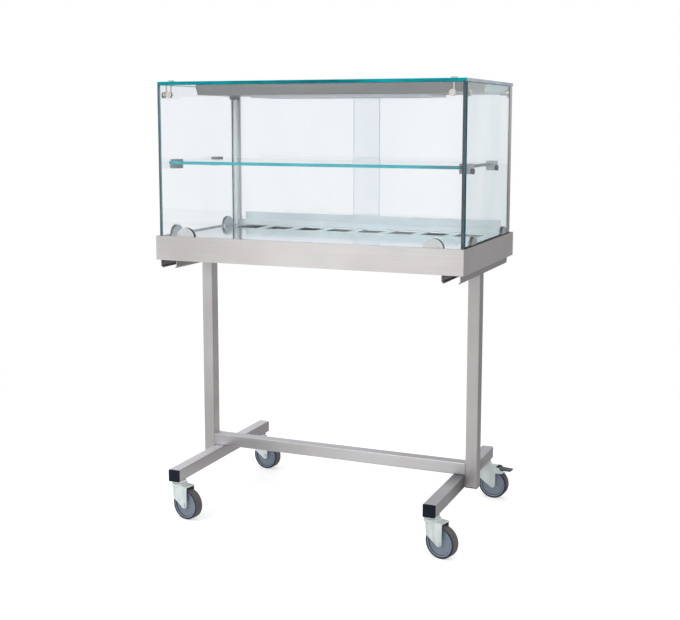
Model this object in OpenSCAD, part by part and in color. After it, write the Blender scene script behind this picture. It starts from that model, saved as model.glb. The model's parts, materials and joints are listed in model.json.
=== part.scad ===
// Heated display cart: a glass case with a heated deck, a glass shelf, sliding rear
// doors and a lamp canopy, carried on a tubular stand with four swivel casters.
// Millimetres. X is width, Y is depth with the front towards -Y, Z is up.
// The origin is on the floor, midway along the feet and on the case's centre line.

/* [Stand] */
// Outside width of the square tube
tube = 40; // [34:1:44]
// Wall of the square tube
tube_wall = 2; // [1.5:0.5:3]
// Length of each foot, end caps included
foot_len = 665; // [600:1:760]
// Distance from the side of the base to the middle of each foot
foot_inset = 82; // [74:1:120]
// Height of the stand's top, where the case sits
stand_h = 873; // [700:1:950]
// Thickness of an end cap's face
cap_t = 3; // [2:0.5:5]
// Depth of an end cap's plug inside the tube
cap_plug = 14; // [8:1:20]

/* [Support channels] */
// Width of each support channel
channel_w = 60; // [56:1:62]
// Height of a channel's sides
channel_h = 40; // [30:1:45]
// Length of each channel, front to back
channel_len = 545; // [480:1:550]
// Sheet thickness of the channels
channel_t = 2.5; // [2:0.5:3]
// Length of the slanted lip along each lower edge
channel_lip = 9; // [6:0.5:9]
// Diameter of the bolts that hold the case to the channels
case_bolt_d = 8; // [6:1:10]
// Distance of the inner case bolts from the middle of the channel
bolt_inner_y = 100; // [60:1:130]
// Distance of the outer case bolts from the middle of the channel
bolt_outer_y = 230; // [180:1:235]

/* [Casters] */
// Diameter of a caster wheel over the tyre
wheel_d = 100; // [90:1:100]
// Width of the tyre
tyre_w = 32; // [24:1:34]
// Diameter of the hub that the tyre is moulded on
hub_d = 86; // [60:1:88]
// Height of a caster from the floor to the foot
caster_h = 128; // [124:1:140]
// Distance of the axle behind the swivel axis
caster_trail = 35; // [32:1:38]
// Distance of a swivel axis from the end of the foot
caster_inset = 35.5; // [30:0.5:60]
// Sheet thickness of the fork
fork_t = 3; // [2.5:0.5:4]
// Gap between a fork leg and the tyre
leg_gap = 2; // [1:0.5:4]
// Diameter of the axle bolt
axle_d = 8; // [6:1:10]
// Diameter of the swivel stem
stem_d = 12; // [10:1:14]
// Diameter of the fixed race above the fork
race_d = 44; // [34:1:50]
// Diameter of the fork's crown
crown_d = 52; // [46:1:56]
// Heading of the front left caster, turned from +X towards -Y, in degrees
turn_front_left = 11.4; // [0:0.1:45]
// Heading of the front right caster
turn_front_right = 15.4; // [0:0.1:45]
// Heading of the rear left caster
turn_rear_left = 8.7; // [0:0.1:45]
// Heading of the rear right caster
turn_rear_right = 4.5; // [0:0.1:45]
// Distance of the pedal's tip from the swivel axis
pedal_reach = 99; // [86:0.5:110]
// Width of the pedal's foot plate
pedal_w = 30; // [20:1:34]
// Diameter of the pedal's hinge pin
pedal_pin_d = 5; // [4:0.5:6]

/* [Base] */
// Outside width of the case's base
case_w = 1040; // [1030:1:1100]
// Outside depth of the case's base
case_d = 588; // [588:1:640]
// Height of the base's skirt
base_h = 78; // [74:1:100]
// How far the skirt hangs below the stand's top
base_drop = 20; // [10:1:24]
// How far the case's middle lies behind the middle of the feet
case_set_back = 12; // [0:1:12]
// Thickness of the base's sheets
sheet_t = 2; // [1.5:0.5:2]
// Width of the front rim
front_rim = 14.5; // [10:0.5:15]
// Width of the rear rim
rear_rim = 11; // [6:0.5:12]
// Depth of the deck below the rim
deck_drop = 5; // [4:0.5:8]
// Width of the ledge that carries the deck
ledge_w = 12; // [8:1:12]
// Width of the hem along the skirt's lower edge
hem_w = 7; // [4:0.5:7]
// Height of the bottom cover's upturned rim
cover_rim = 13; // [8:1:13]

/* [Deck vents] */
// Number of vents in the deck
vent_count = 8; // [4:1:8]
// Width of a vent
vent_w = 80; // [50:1:90]
// Depth of a vent, front to back
vent_d = 100; // [60:1:110]
// Distance of the outermost vents from the side of the base
vent_side = 77.5; // [75:0.5:90]
// Distance of the vents' rear edge from the back of the base
vent_rear = 76; // [70:1:110]

/* [Glass] */
// Distance of a side pane's face from the side of the base
glass_side_inset = 5; // [5:1:20]
// Distance of the top pane's rear edge from the back of the base
top_pane_rear = 24; // [9:1:49]
// Height of the upright panes
pane_h = 489; // [400:1:560]
// Thickness of the upright panes
pane_t = 8; // [6:1:10]
// Thickness of the top pane
top_pane_t = 10; // [8:1:12]
// Distance of a side pane's rear edge from the back of the base
side_pane_rear = 68; // [68:1:81]
// Distance of the front pane's face from the front of the base
glass_inset = 19; // [19:0.5:24]
// Thickness of the seals under and behind the panes
seal_t = 1; // [1:0.5:2]

/* [Glass clamps] */
// Radius of a half-round glass clamp
clamp_r = 33; // [24:1:40]
// Thickness of a clamp's outer plate
clamp_out_t = 2.8; // [2:0.1:2.8]
// Thickness of a clamp's inner plate
clamp_in_t = 6; // [4:0.5:8]
// Distance of a front clamp's middle from the side pane's face
front_clamp_inset = 96; // [85:1:215]
// Distance of a side clamp's middle from the front or back of the base
side_clamp_inset = 115; // [109:1:194]

/* [Corner connectors] */
// Diameter of a connector disc
disc_d = 20; // [16:1:24]
// Thickness of a connector disc
disc_t = 3; // [2:0.5:4]
// Diameter of a connector rod
rod_d = 5; // [4:0.5:6]
// Distance of the discs below the top pane
connector_drop = 32; // [26:1:40]
// Distance of the front disc from the side pane's inner face
connector_side = 35; // [30:1:45]
// Distance of the side disc from the front pane's inner face
connector_front = 27; // [24:1:40]
// Distance of the front rod from the front pane's inner face
rod_stand_off = 9; // [7:0.5:12]
// Distance of the side rod from the side pane's inner face
side_rod_stand_off = 7; // [6:0.5:12]

/* [Shelf] */
// Height of the shelf's underside above the deck
shelf_rise = 236; // [180:1:300]
// Thickness of the shelf
shelf_t = 10; // [8:1:12]
// Depth of the shelf
shelf_d = 370; // [300:1:400]
// Gap between the shelf and each side pane
shelf_side_gap = 15; // [12:1:18]
// Gap between the shelf and the front pane
shelf_front_gap = 20; // [12:1:40]
// Size of a shelf clamp block
block = 30; // [26:1:40]
// Distance of the front blocks from the shelf's front edge
block_front = 51; // [30:1:80]
// Distance of the rear blocks from the shelf's rear edge
block_rear = 43; // [30:1:80]

/* [Rear posts and doors] */
// Width of a rear post, front to back
post_leg = 52; // [46:1:56]
// Width of a rear post's return
post_return = 10; // [6:1:12]
// Thickness of the rear post's angle
angle_t = 3; // [2:0.5:4]
// Width of a seal strip between a side pane and a rear post
post_seal = 2; // [1:0.5:4]
// Thickness of the door panes
door_t = 5; // [4:0.5:6]
// Overlap of the two doors when closed
door_overlap = 94; // [40:1:160]
// Gap between a closed door and its post
door_side_gap = 2; // [2:0.5:4]
// Distance of the tracks behind the front of the posts
track_back = 22; // [16:0.5:22]
// Height of the lower track
track_h = 17; // [14:1:24]
// Height of the upper track
top_track_h = 18; // [14:1:22]
// Height of a door's rail above the lower track
rail_h = 28; // [20:1:40]
// Distance of a rail's end from the edge of its door
rail_inset = 27; // [10:1:60]
// Sheet thickness of a rail
rail_t = 1.2; // [1:0.1:1.4]
// How far a door slides
door_travel = 455; // [300:1:455]

/* [Canopy] */
// Height of the canopy
canopy_h = 28; // [24:1:34]
// Depth of the canopy
canopy_d = 273; // [240:1:290]
// Gap between the canopy and the side panes
canopy_side_gap = 3; // [3:0.5:10]
// How far each end of the canopy slants in
canopy_slant = 9; // [4:1:12]
// Sheet thickness of the canopy
canopy_t = 1.5; // [1:0.5:2]
// Distance of the lamp tray's end from the canopy's end
tray_inset = 193; // [150:1:230]
// Depth of the lamp tray
tray_d = 204; // [180:1:220]
// Height of the lamp tray
tray_h = 10; // [8:1:14]
// Distance of the lamp tray from the front of the canopy
tray_front = 31; // [20:1:40]
// Distance of a lamp tube's end from the lamp tray's end
lamp_inset = 61; // [50:1:120]
// Diameter of a lamp tube
lamp_d = 10; // [8:1:12]

/* [Heaters and fans] */
// Diameter of the heater tube
heater_d = 8.5; // [6:0.5:10]
// Distance between two runs of the heater
heater_pitch = 60; // [40:1:62]
// Distance of a heater's outer bends from the side of the base
heater_side = 130; // [120:1:210]
// Width and depth of a fan's frame
fan_w = 92; // [80:1:92]
// Height of a fan's frame
fan_h = 25; // [22:1:25]
// Distance of each fan's middle from the side of the base
fan_side = 290; // [220:1:400]
// Number of blades on a fan
blade_count = 7; // [5:1:9]

/* [Controls] */
// Height of the controls above the skirt's lower edge
control_rise = 52; // [50:1:53]
// Distance from the base's left side to the power inlet
inlet_side = 90; // [80:1:110]
// Distance from the base's left side to the power switch
power_side = 148; // [140:1:155]
// Distance from the base's left side to the pilot lamp
pilot_side = 182; // [178:1:186]
// Distance from the base's left side to the lamp switch
light_side = 216; // [210:1:222]
// Distance from the base's left side to the thermostat
thermostat_side = 276; // [270:1:320]
// Diameter of the thermostat's knob
knob_d = 28; // [22:1:30]
// How far a rocker tips either side of level, in degrees
rocker_tilt = 6; // [4:1:6]
// Diameter of the wires
wire_d = 4; // [3:0.5:4]

/* [Hidden] */
$fn = 48;

left = -1;
right = 1;
front = -1;
rear = 1;
gap = 0.3; // clearance between pieces that move past each other
slip = 0.2; // clearance of a piece that drops into place
fit = 0.1; // difference in diameter between a turning pin and its bore
through = 1; // how far a cutter runs past the face it cuts

// Stand
tube_r = 3;
cap_slack = 0.4;
foot_x = case_w / 2 - foot_inset;
post_x = foot_x + tube;
foot_mid_z = caster_h + tube / 2;
caster_y = foot_len / 2 - caster_inset;
stem_hole = stem_d + 0.4;
bolt_hole = case_bolt_d + 0.4;
hex_ratio = 1.155; // corner width of a hexagon over its flats

// Casters
wheel_r = wheel_d / 2;
leg_y = tyre_w / 2 + leg_gap;
leg_out_y = leg_y + fork_t;
race_gap = gap;
crown_h = 9;
crown_top = caster_h - 10;
crown_z = crown_top - crown_h;
crown_web = 4;
crown_plate = 3;
crown_over = 12;
stem_nut_h = 10;
stem_nut_flats = 19;
stem_head_h = 3;
stem_head_d = 22;
leg_round = 11;
leg_blend = 0.3; // how far a leg's straight side runs inside its round end
leg_waist = [4 - crown_d / 4, wheel_r + 18]; // where a leg starts to narrow towards the axle
axle_flats = 13;
axle_head_h = 5.3;
axle_nut_h = 6.5;
pedal_pivot = [caster_trail + 19, wheel_d + 3];
pedal_ring = 5.5;
pedal_cheek = 12; // how far a leg's widening reaches below the pedal's pin
cheek_tip = pedal_pivot + [27, -3];
cheek_belly = pedal_pivot + [15, -11];
pedal_plate = 4;
shoe_x = pedal_pivot[0] + 10;
shoe_drop = 8.7;

// Base
base_z = stand_h - base_drop;
base_top = base_z + base_h;
deck_top = base_top - deck_drop;
deck_z = deck_top - sheet_t;
cover_top = stand_h + sheet_t;
corner_r = 3;
rear_wall_y = case_d / 2;
inner_w = case_w - 2 * sheet_t;
inner_d = case_d - 2 * sheet_t;
vent_y = case_d / 2 - vent_rear - vent_d / 2;
vent_pitch = (case_w - 2 * vent_side - vent_w) / (vent_count - 1);
vent_r = 3;
case_bolt_head_h = 5.3;
case_bolt_nut_h = 6.5;
case_bolt_flats = case_bolt_d + 5;

// Glass
glass_x = case_w / 2 - glass_side_inset;
pane_in_x = glass_x - pane_t;
glass_front = -case_d / 2 + glass_inset;
pane_in_y = glass_front + pane_t;
pane_z = deck_top + seal_t;
pane_top = pane_z + pane_h;
side_pane_end = case_d / 2 - side_pane_rear;
top_pane_end = case_d / 2 - top_pane_rear;
front_clamp_x = glass_x - front_clamp_inset;
side_clamp_y = case_d / 2 - side_clamp_inset;
connector_z = pane_top - connector_drop;
connector_x = pane_in_x - connector_side;
connector_y = pane_in_y + connector_front;
front_rod_y = pane_in_y + rod_stand_off;
side_rod_x = pane_in_x - side_rod_stand_off;
boss_share = 0.58; // width of a disc's boss over the disc's own
boss_d = disc_d * boss_share;
link_d = rod_d - 1;
top_disc_t = disc_t + 1;

// Shelf
shelf_x = pane_in_x - shelf_side_gap;
shelf_z = deck_top + shelf_rise;
shelf_y = pane_in_y + shelf_front_gap;
block_ys = [shelf_y + block_front, shelf_y + shelf_d - block_rear];
block_over = 5;
block_z = shelf_z + shelf_t + block_over - block;
screw_d = 5;
screw_grip = 9;
cap_screw_d = 18;

// Rear posts, tracks and doors
post_front = side_pane_end + post_seal;
post_back = post_front + post_leg;
return_front = post_back - angle_t;
track_front = post_front + track_back;
track_d = return_front - track_front;
track_wall = 2;
groove_slack = 1;
door_step = 11;
door_lead = 7; // from the front of the track to the near door
door_near_y = track_front + door_lead;
door_far_y = door_near_y + door_step;
track_top = deck_top + track_h;
door_outer = pane_in_x - door_side_gap;
door_inner = door_overlap / 2;
door_w = door_outer + door_inner;
rail_top = track_top + rail_h;
rail_foot = deck_top + track_wall + 3;
rail_web_z = track_top + 5;
rail_web_t = 2;
pane_seat = rail_web_z + rail_web_t;
track_web = 4;
door_play = 4; // height a door can be lifted by, to take it out
door_top = pane_top - track_web - door_play;
glide_len = 40;
duct_w = 16;
duct_depth = 9;
duct_wall = 1;
duct_front = post_front + 4;
duct_drop = 39; // from the top of the panes to the duct's end
duct_top = pane_top - duct_drop;

// Canopy
canopy_back = post_front;
canopy_front = canopy_back - canopy_d;
canopy_x = pane_in_x - canopy_side_gap;
canopy_z = pane_top - canopy_h;
canopy_low_x = canopy_x - canopy_slant;
canopy_lip = 5;
tray_w = 2 * (canopy_x - tray_inset);
tray_y = canopy_front + tray_front;
tray_z = canopy_z - tray_h;
tray_rim = 12;
guard_t = 4;
lamp_len = tray_w - 2 * lamp_inset;
lamp_drop = 19; // from the top of the panes to the middle of the lamp tubes
lamp_z = pane_top - lamp_drop;
lamp_shares = [0.31, 0.69]; // where the tubes lie, as shares of the tray's depth
lamp_ys = [for (share = lamp_shares) tray_y + tray_d * share];
holder_w = 14;
holder_l = 12;
bracket_t = 1.5;
bracket_plate_t = 3;
bracket_h = 15;
bracket_drop = 11; // from the canopy's lower edge to the bracket's
bracket_z = canopy_z - bracket_drop;
bracket_lap = 23; // how far a bracket reaches in front of the post
bracket_front = canopy_back - bracket_lap;
bracket_in = 26;

// Heaters, fans and wiring
heater_z = deck_z - heater_d / 2 - slip;
heater_runs = 4;
heater_front = 94; // from the front of the base to the first run
heater_y = heater_front - case_d / 2;
heater_in_x = 60;
heater_run = case_w / 2 - heater_side - heater_in_x;
heater_bend = heater_pitch / 2;
heater_end = 14;
strap_t = 1.5;
strap_w = 12;
strap_reach = 14;
fan_rear = 124; // from the back of the base to the middle of the fans
fan_x = case_w / 2 - fan_side;
fan_y = case_d / 2 - fan_rear;
fan_rise = 9; // height of the fans above the bottom cover
fan_z = cover_top + fan_rise;
fan_bore = fan_w - 6;
fan_foot = 6;
rotor_hub = 36;
rotor_tip = fan_bore - 4;
motor_plate = 3;
rotor_pin = 3;
rotor_z = fan_z + motor_plate + 3;
rotor_h = 16;
intake_count = 6;
intake_w = 7;
intake_len = 70;
trunk_w = 14;
trunk_h = 14;
trunk_rear = 37; // from the back of the base to the middle of the trunk
trunk_side = 40; // from the side of the base to the trunk's end
trunk_y = case_d / 2 - trunk_rear;
trunk_x = case_w / 2 - trunk_side;
control_z = base_z + control_rise;
riser_inset = 5.2; // from a side pane's inner face to the riser
riser_x = pane_in_x - riser_inset;
riser_y = duct_front + duct_w / 2;
riser_hole = wire_d + 3;
riser_drop = 14; // from the top of the panes to the riser's top
riser_top = pane_top - riser_drop;
lamp_feed_inset = 9; // from the canopy's end to the wire along it
lamp_feed_x = canopy_low_x - lamp_feed_inset;

// Controls
inlet_x = inlet_side - case_w / 2;
power_x = power_side - case_w / 2;
pilot_x = pilot_side - case_w / 2;
light_x = light_side - case_w / 2;
thermostat_x = thermostat_side - case_w / 2;
inlet_size = [27, 20];
inlet_depth = 25;
inlet_flange = 2;
inlet_pocket = 16;
switch_size = [13, 19];
switch_depth = 18;
switch_wall = 1.2;
bezel_t = 2;
bezel_lap = 1;
rocker_pin_d = 2.4;
rocker_y = rear_wall_y - 1.5;
rocker_front = 5;
rocker_back = 4;
pilot_d = 9.5;
pilot_depth = 22;
thermostat_size = [36, 28];
thermostat_depth = 24;
spindle_d = 6;
knob_h = 16;
bush_d = 9;

casters = [
    [left, front, turn_front_left],
    [right, front, turn_front_right],
    [left, rear, turn_rear_left],
    [right, rear, turn_rear_right]
];

// Places what follows in the case's own frame, whose middle lies behind the stand's
module at_case() {
    translate([0, case_set_back, 0]) children();
}

// Places what follows at a caster, with X pointing from the swivel axis to the axle
module at_caster(which) {
    spot = casters[which];
    translate([spot[0] * foot_x, spot[1] * caster_y, 0]) rotate([0, 0, -spot[2]]) children();
}

// A rectangle with round corners, centred on the origin
module round_rect(w, d, r) {
    square([w - 2 * r, d], center = true);
    square([w, d - 2 * r], center = true);
    for (sx = [-1, 1], sy = [-1, 1]) {
        translate([sx * (w / 2 - r), sy * (d / 2 - r)]) circle(r);
    }
}

// A box between two opposite corners
module span(low, high) {
    translate(low) cube(high - low);
}

// A hexagonal head or nut, by its width over flats
module hexagon(flats, h) {
    cylinder(d = flats * hex_ratio, h = h, $fn = 6);
}

module tube_z(length) {
    linear_extrude(length) difference() {
        round_rect(tube, tube, tube_r);
        round_rect(tube - 2 * tube_wall, tube - 2 * tube_wall, tube_r / 2);
    }
}

module tube_x(length) {
    translate([-length / 2, 0, 0]) rotate([0, 90, 0]) tube_z(length);
}

module tube_y(length) {
    translate([0, length / 2, 0]) rotate([90, 0, 0]) tube_z(length);
}

// A cap face with its plug pointing up
module end_cap() {
    plug = tube - 2 * tube_wall - cap_slack;
    linear_extrude(cap_t) round_rect(tube, tube, tube_r);
    translate([0, 0, cap_t]) linear_extrude(cap_plug) round_rect(plug, plug, tube_r / 2);
}

// Stand: feet, posts, stretcher and channels

module foot(side) {
    difference() {
        translate([side * foot_x, 0, foot_mid_z]) tube_y(foot_len - 2 * cap_t);
        for (end = [front, rear]) {
            translate([side * foot_x, end * caster_y, caster_h - through])
                cylinder(d = stem_hole, h = tube_wall + 2 * through);
        }
    }
}

module foot_left() {
    color("silver") foot(left);
}

module foot_right() {
    color("silver") foot(right);
}

module tube_end_caps() {
    color("midnightblue") {
        for (side = [left, right]) {
            for (end = [front, rear]) {
                translate([side * foot_x, end * foot_len / 2, foot_mid_z])
                    rotate([end * 90, 0, 0]) end_cap();
            }
            translate([side * post_x, 0, caster_h]) end_cap();
        }
    }
}

module post(side) {
    bottom = caster_h + cap_t;
    translate([side * post_x, 0, bottom]) tube_z(stand_h - channel_t - bottom);
}

module post_left() {
    color("lightgray") post(left);
}

module post_right() {
    color("lightgray") post(right);
}

module stretcher() {
    color("lightgray") translate([0, 0, caster_h + tube * 1.5]) tube_x(2 * post_x - tube);
}

// Half of a channel's outline, from the middle of its top down to the end of its lip
function channel_half(s) = let (
    half = channel_w / 2,
    slant = channel_lip * sin(45),
    skin = channel_t * sin(45)
) [
    [s * half, 0],
    [s * half, -channel_h],
    [s * (half - slant), -channel_h - slant],
    [s * (half - slant - skin), -channel_h - slant + skin],
    [s * (half - channel_t), -channel_h + channel_t * tan(22.5)],
    [s * (half - channel_t), -channel_t]
];

function reversed(list) = [for (i = [len(list) - 1:-1:0]) list[i]];

module support_channel(side) {
    outline = concat(channel_half(1), reversed(channel_half(-1)));
    difference() {
        translate([side * post_x, channel_len / 2, stand_h]) rotate([90, 0, 0])
            linear_extrude(channel_len) polygon(outline);
        bolt_spots(side) translate([0, 0, stand_h - channel_t - through])
            cylinder(d = bolt_hole, h = channel_t + 2 * through);
    }
}

module bolt_spots(side) {
    for (y = [-bolt_outer_y, -bolt_inner_y, bolt_inner_y, bolt_outer_y]) {
        translate([side * post_x, y, 0]) children();
    }
}

module support_channel_left() {
    color("gainsboro") support_channel(left);
}

module support_channel_right() {
    color("gainsboro") support_channel(right);
}

// Bolts up through each channel and the case's bottom cover, with their nuts inside
module case_bolts() {
    head_z = stand_h - channel_t - case_bolt_head_h;
    shank = case_bolt_head_h + channel_t + sheet_t + case_bolt_nut_h + 2;
    color("silver") for (side = [left, right]) bolt_spots(side) {
        translate([0, 0, head_z]) {
            hexagon(case_bolt_flats, case_bolt_head_h);
            cylinder(d = case_bolt_d, h = shank);
        }
        translate([0, 0, cover_top]) difference() {
            hexagon(case_bolt_flats, case_bolt_nut_h);
            translate([0, 0, -through])
                cylinder(d = case_bolt_d + fit, h = case_bolt_nut_h + 2 * through);
        }
    }
}

// Casters

// The fixed stem with its race, clamped through the foot's lower wall by a nut
module caster_stem() {
    head_top = crown_top - crown_web - race_gap;
    nut_z = caster_h + tube_wall;
    translate([0, 0, head_top - stem_head_h]) cylinder(d = stem_head_d, h = stem_head_h);
    translate([0, 0, head_top - 1]) cylinder(d = stem_d, h = nut_z + stem_nut_h + 3 - head_top);
    translate([0, 0, crown_top + race_gap]) cylinder(d = race_d, h = caster_h - crown_top - race_gap);
}

module stem_nut() {
    translate([0, 0, caster_h + tube_wall]) difference() {
        hexagon(stem_nut_flats, stem_nut_h);
        translate([0, 0, -through]) cylinder(d = stem_d + fit, h = stem_nut_h + 2 * through);
    }
}

module caster_stems() {
    color("silver") for (which = [0:3]) at_caster(which) {
        caster_stem();
        stem_nut();
    }
}

// Where a line from the point p touches the circle of radius r about c, on its lower side
function tangent_point(p, c, r) = let (
    away = p - c,
    turn = atan2(away[1], away[0]) + acos(r / norm(away))
) c + r * [cos(turn), sin(turn)];

module fork_leg_outline(with_pedal) {
    hub = [caster_trail, wheel_r];
    shoulder = [-crown_d / 4, crown_z + crown_plate];
    polygon([
        shoulder,
        [hub[0] + leg_round, shoulder[1]],
        [hub[0] + leg_round, hub[1]],
        hub,
        tangent_point(leg_waist, hub, leg_round - leg_blend),
        leg_waist
    ]);
    translate(hub) circle(leg_round);
    if (with_pedal) {
        polygon([
            [hub[0], shoulder[1]],
            [pedal_pivot[0], shoulder[1]],
            pedal_pivot + [8, 0],
            cheek_tip,
            cheek_belly,
            [hub[0] + leg_round, pedal_pivot[1] - pedal_cheek],
            [hub[0], pedal_pivot[1] - pedal_cheek]
        ]);
        translate(pedal_pivot) circle(8);
    }
}

module caster_fork(with_pedal) {
    plate_end = with_pedal ? pedal_pivot[0] - pedal_ring - 4 : caster_trail + crown_over;
    difference() {
        union() {
            translate([0, 0, crown_z]) cylinder(d = crown_d, h = crown_h);
            span([0, -leg_out_y, crown_z], [plate_end, leg_out_y, crown_z + crown_plate]);
            for (side = [-1, 1]) {
                translate([0, side * (leg_y + fork_t / 2) + fork_t / 2, 0]) rotate([90, 0, 0])
                    linear_extrude(fork_t) fork_leg_outline(with_pedal);
            }
        }
        translate([0, 0, crown_z - through])
            cylinder(d = crown_d - 12, h = crown_h - crown_web + through);
        translate([0, 0, crown_z]) cylinder(d = stem_d + fit, h = crown_h + through);
        cross_bore([caster_trail, wheel_r], axle_d + 2 * fit);
        if (with_pedal) cross_bore(pedal_pivot, pedal_pin_d + 2 * fit);
    }
}

// A hole across both legs of a fork
module cross_bore(spot, d) {
    translate([spot[0], leg_out_y + through, spot[1]]) rotate([90, 0, 0])
        cylinder(d = d, h = 2 * (leg_out_y + through));
}

module axle_bolt() {
    translate([caster_trail, -leg_out_y - axle_head_h - fit, wheel_r]) rotate([-90, 0, 0]) {
        hexagon(axle_flats, axle_head_h);
        cylinder(d = axle_d, h = axle_head_h + 2 * leg_out_y + axle_nut_h + 1);
    }
    translate([caster_trail, leg_out_y + fit, wheel_r]) rotate([-90, 0, 0]) difference() {
        hexagon(axle_flats, axle_nut_h);
        translate([0, 0, -through]) cylinder(d = axle_d + fit, h = axle_nut_h + 2 * through);
    }
}

module pedal_pin() {
    head = 1.5;
    length = 2 * (leg_out_y + fit);
    translate([pedal_pivot[0], -length / 2, pedal_pivot[1]]) rotate([-90, 0, 0]) {
        cylinder(d = pedal_pin_d, h = length);
        translate([0, 0, -head]) cylinder(d = pedal_pin_d + 3, h = head);
        translate([0, 0, length]) cylinder(d = pedal_pin_d + 3, h = head);
    }
}

module fork_with_axle(which, with_pedal) {
    at_caster(which) {
        caster_fork(with_pedal);
        axle_bolt();
        if (with_pedal) pedal_pin();
    }
}

module caster_fork_front_left() {
    color("gainsboro") fork_with_axle(0, false);
}

module caster_fork_front_right() {
    color("gainsboro") fork_with_axle(1, false);
}

module caster_fork_rear_left() {
    color("gainsboro") fork_with_axle(2, false);
}

module caster_fork_rear_right() {
    color("gainsboro") fork_with_axle(3, true);
}

// Puts a profile of radius and height on a caster's axle
module on_axle(which) {
    at_caster(which) translate([caster_trail, 0, wheel_r]) rotate([90, 0, 0])
        rotate_extrude($fn = 96) children();
}

// The hub: a long boss on the axle, a thin web and a rim under the tyre
module hub(which) {
    bore = (axle_d + fit) / 2;
    boss = axle_d / 2 + 7;
    boss_w = leg_y - gap;
    rim = hub_d / 2;
    rim_w = tyre_w / 2 - 2.5;
    on_axle(which) polygon([
        [bore, -boss_w], [boss, -boss_w], [boss + 1, -boss_w / 3],
        [rim - 6, -4], [rim - 4, -rim_w], [rim, -rim_w],
        [rim, rim_w], [rim - 4, rim_w], [rim - 6, 4],
        [boss + 1, boss_w / 3], [boss, boss_w], [bore, boss_w]
    ]);
}

module tyre(which) {
    side = tyre_w / 2;
    on_axle(which) polygon([
        [hub_d / 2, -side], [wheel_r - 3, -side], [wheel_r - 0.8, -side + 1.6], [wheel_r, -side + 4.5],
        [wheel_r, side - 4.5], [wheel_r - 0.8, side - 1.6], [wheel_r - 3, side], [hub_d / 2, side]
    ]);
}

module caster_wheel_front_left() {
    color("slategray") hub(0);
}

module caster_wheel_front_right() {
    color("slategray") hub(1);
}

module caster_wheel_rear_left() {
    color("slategray") hub(2);
}

module caster_wheel_rear_right() {
    color("slategray") hub(3);
}

module caster_tyre_front_left() {
    color("darkslategray") tyre(0);
}

module caster_tyre_front_right() {
    color("darkslategray") tyre(1);
}

module caster_tyre_rear_left() {
    color("darkslategray") tyre(2);
}

module caster_tyre_rear_right() {
    color("darkslategray") tyre(3);
}

// The brake pedal, hinged between the legs of the rear right fork
module brake_pedal() {
    barrel = leg_y - gap;
    top = pedal_ring - 2;
    color("darkslateblue") at_caster(3) difference() {
        union() {
            translate([pedal_pivot[0], barrel, pedal_pivot[1]]) rotate([90, 0, 0])
                cylinder(r = pedal_ring, h = 2 * barrel);
            translate([0, pedal_w / 2, 0]) rotate([90, 0, 0]) linear_extrude(pedal_w) polygon([
                pedal_pivot + [0, pedal_ring - 0.5],
                [pedal_reach, pedal_pivot[1] + top],
                [pedal_reach, pedal_pivot[1] + top - pedal_plate],
                [shoe_x + 3, pedal_pivot[1] + top - pedal_plate - 1.5],
                [shoe_x, pedal_pivot[1] - shoe_drop],
                pedal_pivot + [3, -4]
            ]);
        }
        translate([pedal_pivot[0], leg_y + through, pedal_pivot[1]]) rotate([90, 0, 0])
            cylinder(d = pedal_pin_d + fit, h = 2 * (leg_y + through));
    }
}

// Base: skirt, deck, cover and what they hold

module ring(w, d, width, low, high) {
    translate([0, 0, low]) linear_extrude(high - low) difference() {
        square([w, d], center = true);
        square([w - 2 * width, d - 2 * width], center = true);
    }
}

module base_skirt() {
    lip_t = 1.5;
    lip_y = -case_d / 2 + front_rim;
    color("lightgray") at_case() difference() {
        union() {
            translate([0, 0, base_z]) linear_extrude(base_h) difference() {
                round_rect(case_w, case_d, corner_r);
                square([inner_w, inner_d], center = true);
            }
            ring(inner_w, inner_d, hem_w, base_z, base_z + sheet_t);
            ring(inner_w, inner_d, ledge_w, deck_z - sheet_t, deck_z);
            span([-inner_w / 2, -inner_d / 2, base_top - sheet_t], [inner_w / 2, lip_y, base_top]);
            span([-inner_w / 2, lip_y - lip_t, deck_top], [inner_w / 2, lip_y, base_top]);
            span([-inner_w / 2, case_d / 2 - rear_rim, base_top - sheet_t],
                [inner_w / 2, inner_d / 2, base_top]);
        }
        control_cutouts();
    }
}

// Openings in the rear wall for the inlet, the switches, the pilot lamp and the thermostat
module control_cutouts() {
    wall = [sheet_t + 2 * through, rear_wall_y - sheet_t - through];
    rear_box(inlet_x, inlet_size[0] + 2 * slip, inlet_size[1] + 2 * slip, wall[1], wall[0]);
    for (x = [power_x, light_x]) {
        rear_box(x, switch_size[0] + 2 * slip, switch_size[1] + 2 * slip, wall[1], wall[0]);
    }
    rear_round(pilot_x, pilot_d + slip, wall[1], wall[0]);
    rear_round(thermostat_x, bush_d + 2 * slip, wall[1], wall[0]);
}

// A box at control height, from y for a given depth towards the rear
module rear_box(x, w, h, y, depth) {
    translate([x - w / 2, y, control_z - h / 2]) cube([w, depth, h]);
}

// A round bar at control height, from y for a given depth towards the rear
module rear_round(x, d, y, depth) {
    translate([x, y, control_z]) rotate([-90, 0, 0]) cylinder(d = d, h = depth);
}

module base_bottom_cover() {
    color("darkgray") difference() {
        at_case() {
            translate([0, 0, stand_h]) linear_extrude(sheet_t) square([inner_w, inner_d], center = true);
            ring(inner_w, inner_d, sheet_t, stand_h, cover_top + cover_rim);
        }
        for (side = [left, right]) {
            bolt_spots(side) translate([0, 0, stand_h - through])
                cylinder(d = bolt_hole, h = sheet_t + 2 * through);
            at_case() for (i = [0:intake_count - 1]) {
                slot_y = fan_y + (i - (intake_count - 1) / 2) * 2 * intake_w;
                translate([side * fan_x, slot_y, stand_h - through])
                    linear_extrude(sheet_t + 2 * through)
                    round_rect(intake_len, intake_w, intake_w / 2 - 0.5);
            }
        }
    }
}

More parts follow.
